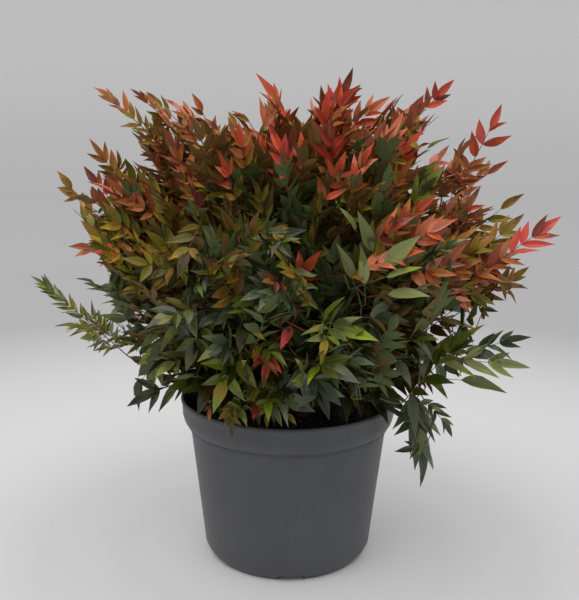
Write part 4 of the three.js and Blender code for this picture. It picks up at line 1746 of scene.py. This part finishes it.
LEADERS = tuple(
    Leader(row[:3], row[3], look, row[4], row[5]) for look, rows in LEADER_ROWS.items() for row in rows
)


@dataclass(frozen=True)
class Spray:
    """What the parts of one spray have in common."""

    zone: str
    shape: SprayShape
    look: Look
    tone: StalkTone


class Grower:
    """Grows stems, stalks, sprays and leaflets from the limbs into the masses."""

    # Painted light and shade: under each limit of light that a place is taken to get, the gains that leaflets
    # of the inner, middle and outer layer are drawn from, darker inside and low down, lighter on top and at
    # the sides.
    SHADES_BY_LIGHT = (
        (0.3, ((0, 0, 0, 1), (0, 0, 0, 1), (0, 0, 1, 1))),
        (0.52, ((0, 0, 0, 1), (0, 0, 1, 1), (0, 1, 1, 2))),
        (0.75, ((0, 0, 1), (0, 1, 1, 2), (1, 1, 2, 3))),
        (2.0, ((1, 1, 2), (1, 2, 2, 3), (2, 2, 3, 3))),
    )
    HEIGHT = Slope(230, 450, 0.0, 1.0)
    LIFT = Slope(235, 325, -0.22, 0.3)
    LIFT_LOST_ON_TOP = Slope(350, 450, 0.0, 0.3)
    ARCH = Slope(360, 450, 0.0, 0.3)
    SMALLER_ON_THE_LEFT = Slope(-150, -30, 0.8, 1.0)
    SMALLER_IN_FRONT = Slope(-170, -90, 0.84, 1.0)
    # Painted light: how much lighter the sides are painted than the front and back.
    PAINTED_SIDE_LIGHT = 0.32
    PAIR_SIZES = (0.84, 1.0, 0.98, 0.92, 0.86)  # from the pair next to the end leaflet downwards
    MIDLINE = (0.3, 0.65, 1.0)  # shares of a leaflet's length that are kept out of the gaps
    SIDE_SPRAYS = ((1.0, 0.62), (-1.0, 0.5))  # side, and share of the length below the tip
    SIDE_SPRAY_REACH = 16 * MM
    SINGLE_FOOT = 34 * MM  # length of a single spray past its mass
    STEM_POINTS = 14
    SPRAY_POINTS = 24
    RACHIS_POINTS = 7
    STALK_POINTS = 7
    FIRST_NODE = 3.5 * MM
    CLEARANCE = 14 * MM  # height over the rim that stalks pass it at
    RIM_MARGIN = 12 * MM
    STALK_MARGIN = 40 * MM

    def __init__(self, crown: Crown, limbs: list[Limb]) -> None:
        """Starts with the limbs as the network that stalks leave from."""
        self.crown = crown
        self.limbs = limbs
        self.pot = Pot()
        self.rule = AutumnRule()
        self.network = Network()
        self.rng = np.random.default_rng(29)
        self.stems: dict[str, Tubes] = {}
        self.stalks: dict[str, Tubes] = {}
        self.leaflets: dict[tuple[str, Family], Leaflets] = {}
        for limb in limbs:
            self.network.add_line(limb.line, 0.35)

    def grow(self) -> None:
        """Grows the stems, the crown from the inside out, the leaders and the single sprays."""
        self._grow_stems()
        for layer in Layer:
            targets = self.crown.targets(layer)
            targets.sort(key=lambda target: float(np.linalg.norm(target.tip - self.crown.foot)))
            for target in targets:
                self._spray(target, self._shape_for(target, layer), self.rule.look(target, self.rng))
            log.info("%s layer: %d sprays", layer.name.lower(), len(targets))
        for leader in LEADERS:
            tip = np.array(leader.tip) * MM
            outwards = unit(tip - self.crown.foot)
            hit = self.crown.outside(outwards)
            target = Target(tip, outwards, outwards, 1.0, hit[2] if hit else "middle")
            usual = self._shape_for(target, Layer.OUTER)
            self._spray(target, leader.shaped(usual), leader.look)
        for mass in self.crown.masses:
            if mass.zone == SINGLE_ZONE:
                self._grow_single_spray(mass)

    def build(self, bark: Material) -> list[Piece]:
        """Turns what has grown into pieces, by zone."""
        pieces = []
        skins = [tone.value.material() for tone in StalkTone]
        for zone, tubes in sorted(self.stems.items()):
            pieces.append(finish_piece(tubes.build(f"stems_{zone}"), [bark], []))
        for zone, tubes in sorted(self.stalks.items()):
            pieces.append(finish_piece(tubes.build(f"stalks_{zone}"), skins, []))
        for zone, family in sorted(self.leaflets, key=lambda key: (key[0], key[1].value)):
            leaflets = self.leaflets[(zone, family)]
            piece = leaflets.build(f"leaves_{zone}_{family.name.lower()}")
            nodes = [mass.node for mass in self.crown.masses if mass.zone == zone]
            pieces.append(finish_piece(piece, leaflets.materials, nodes))
        return pieces

    def _grow_stems(self) -> None:
        """Carries every limb on into its mass, and leads a stem into each skirt mass."""
        for limb in self.limbs:
            self._stem(self.crown.named(limb.mass), limb.end, limb.heading, float(limb.radii[-1]))
        for mass in self.crown.masses:
            if mass.zone == "skirt":
                heading = unit(mass.centre - mass.heel)
                start, leaving = self.network.leave_for(mass.centre, heading, self.crown.foot)
                self._stem(mass, start, leaving, 1.5 * MM)

    def _stem(self, mass: Mass, start: Array, heading: Array, radius: float) -> None:
        """Grows one stem from a point to part of the way from a mass's centre to its tip."""
        goal = mix(mass.centre, mass.tip, 0.3)
        length = np.linalg.norm(goal - start)
        bend = mix(start, goal, 0.7) + self.rng.normal(0.0, 0.05, 3) * length
        controls = [start - heading * 2 * MM, start + heading * 0.35 * length, bend, goal]
        line = bezier(controls, self.STEM_POINTS)
        self.stems.setdefault(mass.zone, Tubes(7)).add(line, radius, 0.35 * radius + 0.3 * MM, 0)
        self.network.add_line(line)

    def _grow_single_spray(self, mass: Mass) -> None:
        """Grows a spray that stands far out along its own slender mass, with its side sprays."""
        outwards = unit(mass.tip - mass.heel)
        single = SINGLE_SPRAYS[mass.node.removeprefix("foliage_spray_")]
        end = mass.tip + np.array(single.shift) * MM
        length = float(np.linalg.norm(end - mass.heel)) + self.SINGLE_FOOT
        target = Target(end, outwards, outwards, 1.0, mass.zone)
        axis = single.aim(outwards)
        usual = self._shape_for(target, Layer.OUTER)
        shape = single.shaped(usual, axis, length, end[2] > 200 * MM)
        self._spray(target, shape, single.look)
        side = across(self.rng.normal(0, 1, 3) * [1.0, 0.3, 1.0], axis)
        for sign, share in self.SIDE_SPRAYS[: single.side_sprays]:
            tip = end - axis * share * length + sign * side * self.SIDE_SPRAY_REACH
            away = unit(axis + sign * 0.55 * side)
            small = replace(shape, length=0.5 * length, aim=away)
            self._spray(Target(tip, away, away, 1.0, mass.zone), small, single.look.older)

    def _shape_for(self, target: Target, layer: Layer) -> SprayShape:
        """Sizes of a spray by its place: slender and upright on top, broad and drooping low down."""
        x, y, z = target.tip
        height = self.HEIGHT.at(z)
        small = self.SMALLER_ON_THE_LEFT.at(x) * self.SMALLER_IN_FRONT.at(y)
        # Painted light and shade by place: high and side sprays get lighter gains, low and inner ones darker.
        light = height + self.PAINTED_SIDE_LIGHT * (abs(float(target.outwards[0])) - 0.4)
        shades = next(by_layer for limit, by_layer in self.SHADES_BY_LIGHT if light < limit)
        return SprayShape(
            length=mix(84, 100, height) * MM,
            leaflet=mix(38, 28, height) * small * MM,
            slimness=mix(0.4, 0.34, height),
            node_spacing=mix(18, 11.5, height) * small * MM,
            branch_from=UNBRANCHED if layer is Layer.INNER else 4,
            angle=mix(52, 32, height),
            bow=mix(0.1, -0.03, height),
            lift=self.LIFT.at(z) - self.LIFT_LOST_ON_TOP.at(z),
            arch=self.ARCH.at(z),
            wander=mix(0.42, 0.24, height),
            curl=mix(0.16, 0.1, height),
            shades=shades[list(Layer).index(layer)],
        )

    def _spray(self, target: Target, shape: SprayShape, look: Look) -> None:
        """Grows one spray to a target, with the stalk that carries it, unless it is in a gap.

        Args:
            target: Where its tip goes.
            shape: Its sizes.
            look: Its colours.
        """
        rng = self.rng
        wander = rng.normal(0, shape.wander, 3)
        if shape.aim is None:
            lift = shape.arch * target.level + [0.0, 0.0, shape.lift]
            heading = unit(target.outwards + 0.15 * target.normal + lift + wander)
        else:
            heading = unit(shape.aim + 0.15 * wander)
        length = shape.length * rng.uniform(0.86, 1.14)
        base = target.tip - heading * length
        if target.zone != SINGLE_ZONE:
            base = self._drawn_in(base)
            heading = unit(target.tip - base)
        if math.hypot(base[0], base[1]) < self.pot.rim_radius + self.RIM_MARGIN:
            base[2] = max(base[2], self.crown.foot[2] + self.CLEARANCE)
            heading = unit(target.tip - base)
        faces = shape.roof + 0.3 * target.outwards + rng.normal(0, shape.roll, 3)
        roof = across(faces, heading)
        middle = mix(base, target.tip, 0.5) + roof * shape.bow * length
        if shape.aim is None and in_gap(middle[None]):
            return
        tone = StalkTone.RED if look.is_red or rng.random() < 0.4 else StalkTone.GREEN
        spray = Spray(target.zone, shape, look, tone)
        start, leaving = self.network.leave_for(base, heading, self.crown.foot)
        self._stalk(spray, start, leaving, base, unit(middle - base))
        self._leaf_out(spray, Course(bezier([base, middle, target.tip], self.SPRAY_POINTS)), roof)

    def _drawn_in(self, base: Array) -> Array:
        """Base of a spray, drawn in towards the crown's foot where it lies outside the outline."""
        away = base - self.crown.foot
        reach = float(np.linalg.norm(away))
        hit = self.crown.outside(away / reach)
        if hit is None:
            return base
        limit = 0.9 * float(np.linalg.norm(hit[0] - self.crown.foot))
        return self.crown.foot + away * min(1.0, limit / reach)

    def _stalk(self, spray: Spray, start: Array, leaving: Array, base: Array, arriving: Array) -> None:
        """Grows the stalk that carries a spray, bent over the pot's rim where it has to pass it.

        Args:
            spray: The spray.
            start: Where the stalk starts.
            leaving: Direction of the line that it leaves.
            base: Where the spray starts.
            arriving: The spray's direction there.
        """
        length = np.linalg.norm(base - start)
        straight = (base - start) / max(length, 1e-9)
        out = unit(0.3 * leaving + 0.7 * straight)
        first = start + out * 0.3 * length
        second = base - unit(arriving + 0.6 * straight) * 0.3 * length
        rim_top = self.pot.height + self.CLEARANCE
        if base[2] < rim_top:
            first[2] = max(first[2], rim_top)
            second[2] = max(second[2], base[2] + 0.3 * length)
        elif math.hypot(base[0], base[1]) < self.pot.rim_radius + self.STALK_MARGIN:
            first[2] = max(first[2], rim_top)
            second[2] = max(second[2], rim_top)
        line = bezier([start - out * 0.6 * MM, first, second, base], self.STALK_POINTS)
        thick = 0.7 * MM + 3.0 * MM * min(length, 0.1)
        self.stalks.setdefault(spray.zone, Tubes(4)).add(line, thick, 0.6 * MM, spray.tone.place)
        self.network.add_line(line[1:], 0.3)

    def _leaf_out(self, spray: Spray, course: Course, roof: Array) -> None:
        """Grows a spray's rachis along a course, with its end leaflet and its pairs down to the base."""
        rng = self.rng
        shape = spray.shape
        terminal = shape.leaflet * rng.uniform(0.95, 1.15)
        length = max(course.length - terminal, 0.4 * course.length)
        rachis = course.at(np.linspace(0, 1, self.RACHIS_POINTS) * length)
        self.stalks[spray.zone].add(rachis, 0.6 * MM, 0.3 * MM, spray.tone.place)
        self.network.add_line(rachis[:3])
        point, forwards = course.reading(length)
        self._leaflet(spray, point, forwards, across(roof, forwards), terminal)
        distance = length - self.FIRST_NODE
        number = 0
        while distance > shape.bare_share * length:
            point, forwards = course.reading(distance)
            self._pair(spray, point, forwards, across(roof, forwards), number)
            distance -= shape.node_spacing * rng.uniform(0.85, 1.15)
            number += 1

    def _pair(self, spray: Spray, point: Array, forwards: Array, normal: Array, number: int) -> None:
        """Grows a pair of leaflets, or of short branches with three leaflets each, at a node.

        Args:
            spray: The spray.
            point: The node's place.
            forwards: The rachis's direction there.
            normal: Where the upper faces look.
            number: The pair's number, from the spray's end down.
        """
        rng = self.rng
        shape = spray.shape
        if rng.random() < 0.3 * (number - 1):
            spray = replace(spray, look=spray.look.older)
        side = np.cross(forwards, normal)
        size = shape.leaflet * self.PAIR_SIZES[min(number, len(self.PAIR_SIZES) - 1)]
        for sign in (-1.0, 1.0):
            if rng.random() < 0.04:
                continue
            angle = math.radians(shape.angle + 2.5 * number + rng.normal(0, 7))
            sideways = math.cos(angle) * forwards + math.sin(angle) * sign * side
            away = unit(sideways + rng.normal(0.08, 0.15) * normal)
            length = size * rng.uniform(0.85, 1.12)
            blade = across(normal + rng.normal(0, 0.28, 3) - 0.16 * sign * side, away)
            if number < shape.branch_from:
                self._leaflet(spray, point, away, blade, length)
                continue
            end = point + away * shape.node_spacing * rng.uniform(0.9, 1.3)
            line = np.array([point, mix(point, end, 0.5), end])
            self.stalks[spray.zone].add(line, 0.4 * MM, 0.25 * MM, spray.tone.place)
            self._leaflet(spray, end, away, blade, length)
            branch_side = np.cross(away, blade)
            for twin in (-1.0, 1.0):
                spread = math.radians(48 + rng.normal(0, 7))
                twig = unit(math.cos(spread) * away + math.sin(spread) * twin * branch_side)
                turned = across(blade + rng.normal(0, 0.2, 3), twig)
                self._leaflet(spray, end - away * 1.5 * MM, twig, turned, 0.8 * length)

    def _leaflet(self, spray: Spray, base: Array, axis: Array, normal: Array, length: float) -> None:
        """Adds one leaflet to the piece of its zone and family, unless a gap or the pot is in its way.

        Args:
            spray: Its spray.
            base: Where it grows.
            axis: Direction from there to its tip.
            normal: Where its upper face looks.
            length: Its length.
        """
        rng = self.rng
        axis = unit(axis + [0.0, 0.0, min(0.0, spray.shape.lift) * 0.5])
        normal = across(normal, axis)
        midline = base + np.outer(self.MIDLINE, axis * length)
        if self.pot.meets(base, axis * length) or (spray.zone != SINGLE_ZONE and in_gap(midline)):
            return
        tint = spray.look.draw(rng)
        tip_tint = spray.look.draw(rng) if rng.random() < 0.5 else tint
        # Gain of painted light and shade, drawn from the spray's; the tip's is up to one step apart at
        # random.
        shade = int(rng.choice(spray.shape.shades))
        tip_shade = min(len(PAINTED_LIGHT_GAINS) - 1, max(0, shade + int(rng.choice((-1, 0, 0, 1)))))
        width = length * spray.shape.slimness * rng.uniform(0.86, 1.14)
        curl = spray.shape.curl * rng.uniform(0.0, 2.0)
        row = (base, axis, normal, length, width, curl)
        row += (rng.uniform(0.12, 0.6), rng.normal(0, 0.06), rng.uniform(0, 2 * math.pi))
        family = tint.value[1]
        leaflets = self.leaflets.setdefault((spray.zone, family), Leaflets([under_material(family)]))
        leaflets.add(row, upper_material(tint, shade), upper_material(tip_tint, tip_shade))


# ---- studio


@dataclass
class Studio:
    """Pale floor that curves up into a backdrop, soft light and the camera."""

    floor_radius: float = 1.75
    curve_radius: float = 0.9
    curve_steps: int = 17
    wall_height: float = 2.6
    sides: int = 96
    # Distance from the middle in metres, and the floor's or backdrop's tone there. Near the middle the floor
    # is painted lighter, painted light that offsets the shadow of the pot and the crown; further out the tone
    # falls, and it rises again up the backdrop.
    tones_with_painted_light: tuple[tuple[float, int], ...] = (
        (0.09, 255), (0.18, 228), (0.27, 214), (0.5, 214), (0.75, 205),
        (1.15, 178), (1.6, 182), (2.3, 185), (2.5, 194), (2.8, 222),
    )  # fmt: skip
    lamp_place: tuple[float, float, float] = (-0.2, -0.4, 2.9)
    lamp_aim: tuple[float, float, float] = (0.0, 0.0, 0.25)
    lamp_size: float = 3.4
    lamp_power: float = 56.0
    sky_start: float = 0.1
    sky_strength: float = 0.78
    horizon_strength: float = 0.4
    distance: float = 920 * MM
    height: float = 475.5 * MM
    offset: float = 0.23 * MM
    pitch: float = 0.211
    roll: float = 0.009
    lens: float = 53.19
    sensor: float = 36.0

    def build(self) -> None:
        """Makes the stage, the lights and the camera."""
        self._floor()
        self._lights()
        self._camera()

    def _floor(self) -> None:
        """Spins the floor and the backdrop out of one profile each."""
        floor = self._spun("floor", [(0.0, 0.0), (self.floor_radius, 0.0)])
        bend = []
        for turn in np.linspace(0, math.pi / 2, self.curve_steps):
            out = self.floor_radius + self.curve_radius * math.sin(turn)
            bend.append((out, self.curve_radius * (1 - math.cos(turn))))
        bend.append((self.floor_radius + self.curve_radius, self.wall_height))
        wall = self._spun("backdrop", bend)
        reach = self.tones_with_painted_light[-1][0]
        stops = [(place / reach, (tone, tone - 1, tone)) for place, tone in self.tones_with_painted_light]
        for piece in (floor, wall):
            shader = Shader(f"{piece.name}_paint")
            away = shader.node("ShaderNodeVectorMath", operation="LENGTH")
            shader.link(shader.place(), away.inputs[0])
            near = shader.math("DIVIDE", away.outputs["Value"], reach)
            shader.colour(shader.ramp(near, stops))
            shader.roughness(shader.noise(shader.place(), 30.0), (0.75, 0.9))
            piece.data.materials.append(shader.material)
        wall.visible_diffuse = wall.visible_glossy = wall.visible_shadow = False

    def _spun(self, name: str, profile: Rings) -> Piece:
        """Turns a profile of radius and height once round the vertical axis."""
        angles = np.linspace(0, 2 * math.pi, self.sides, endpoint=False)
        points = [(r * math.cos(a), r * math.sin(a), z) for r, z in profile for a in angles]
        ring = np.arange(len(points)).reshape(len(profile), self.sides)
        after = np.roll(ring, -1, axis=1)
        faces = np.stack([ring[:-1], ring[1:], after[1:], after[:-1]], -1).reshape(-1, 4)
        mesh = bpy.data.meshes.new(name)
        mesh.from_pydata(points, [], faces.tolist())
        mesh.polygons.foreach_set("use_smooth", [True] * len(faces))
        return into_scene(name, mesh)

    def _lights(self) -> None:
        """Sets a pale surrounding light, weaker towards the horizon, and a broad, soft lamp overhead."""
        world = bpy.data.worlds.new("studio_light")
        world.use_nodes = True
        tree = NodeTree(world)
        direction = tree.node("ShaderNodeTexCoord")
        parts = tree.node("ShaderNodeSeparateXYZ")
        reach = {"From Min": self.sky_start, "To Min": self.horizon_strength, "To Max": self.sky_strength}
        strength = tree.node("ShaderNodeMapRange", reach, interpolation_type="SMOOTHSTEP")
        tree.link(direction.outputs["Generated"], parts.inputs["Vector"])
        tree.link(parts.outputs["Z"], strength.inputs["Value"])
        background = tree.nodes["Background"].inputs
        tree.link(strength.outputs["Result"], background["Strength"])
        background["Color"].default_value = (1.0, 1.0, 1.0, 1.0)
        bpy.context.scene.world = world
        bpy.context.scene.view_settings.view_transform = "Standard"
        lamp = bpy.data.lights.new("overhead", "AREA")
        lamp.size = self.lamp_size
        lamp.energy = self.lamp_power
        holder = into_scene("overhead", lamp)
        holder.location = self.lamp_place
        aim = Vector(self.lamp_aim) - Vector(self.lamp_place)
        holder.rotation_euler = aim.to_track_quat("-Z", "Y").to_euler()

    def _camera(self) -> None:
        """Stands the camera in front of the plant, looking a little down."""
        data = bpy.data.cameras.new("viewer")
        data.lens = self.lens
        data.sensor_width = self.sensor
        camera = into_scene("viewer", data)
        place = Matrix.Translation((self.offset, -self.distance, self.height))
        tilt = Matrix.Rotation(math.pi / 2 - self.pitch, 4, "X")
        camera.matrix_world = place @ tilt @ Matrix.Rotation(self.roll, 4, "Z")
        bpy.context.scene.camera = camera


# ---- the whole object


def report(piece: Piece) -> None:
    """Logs a piece's name and number of faces."""
    log.info("%s: %d faces", piece.name, len(piece.data.polygons))


def main() -> None:
    """Builds the studio, the pot, the limbs and the crown, and reports each piece."""
    logging.basicConfig(level=logging.INFO, format="%(message)s")
    Studio().build()
    report(Pot().build(PotPlastic()))
    for piece in PottingMix().build():
        report(piece)
    limbs = LimbReader().read_all()
    bark = CANE_BARK.material()
    skin = BOUGH_SKIN.material()
    for limb in limbs:
        if limb.node.startswith("cane"):
            report(LimbBark().build(limb, bark, "cane_bark"))
        else:
            report(LimbBark(sides=10).build(limb, skin, "leaf_stalk"))
    grower = Grower(Crown(), limbs)
    grower.grow()
    for piece in grower.build(bark):
        report(piece)


if __name__ == "__main__":
    main()
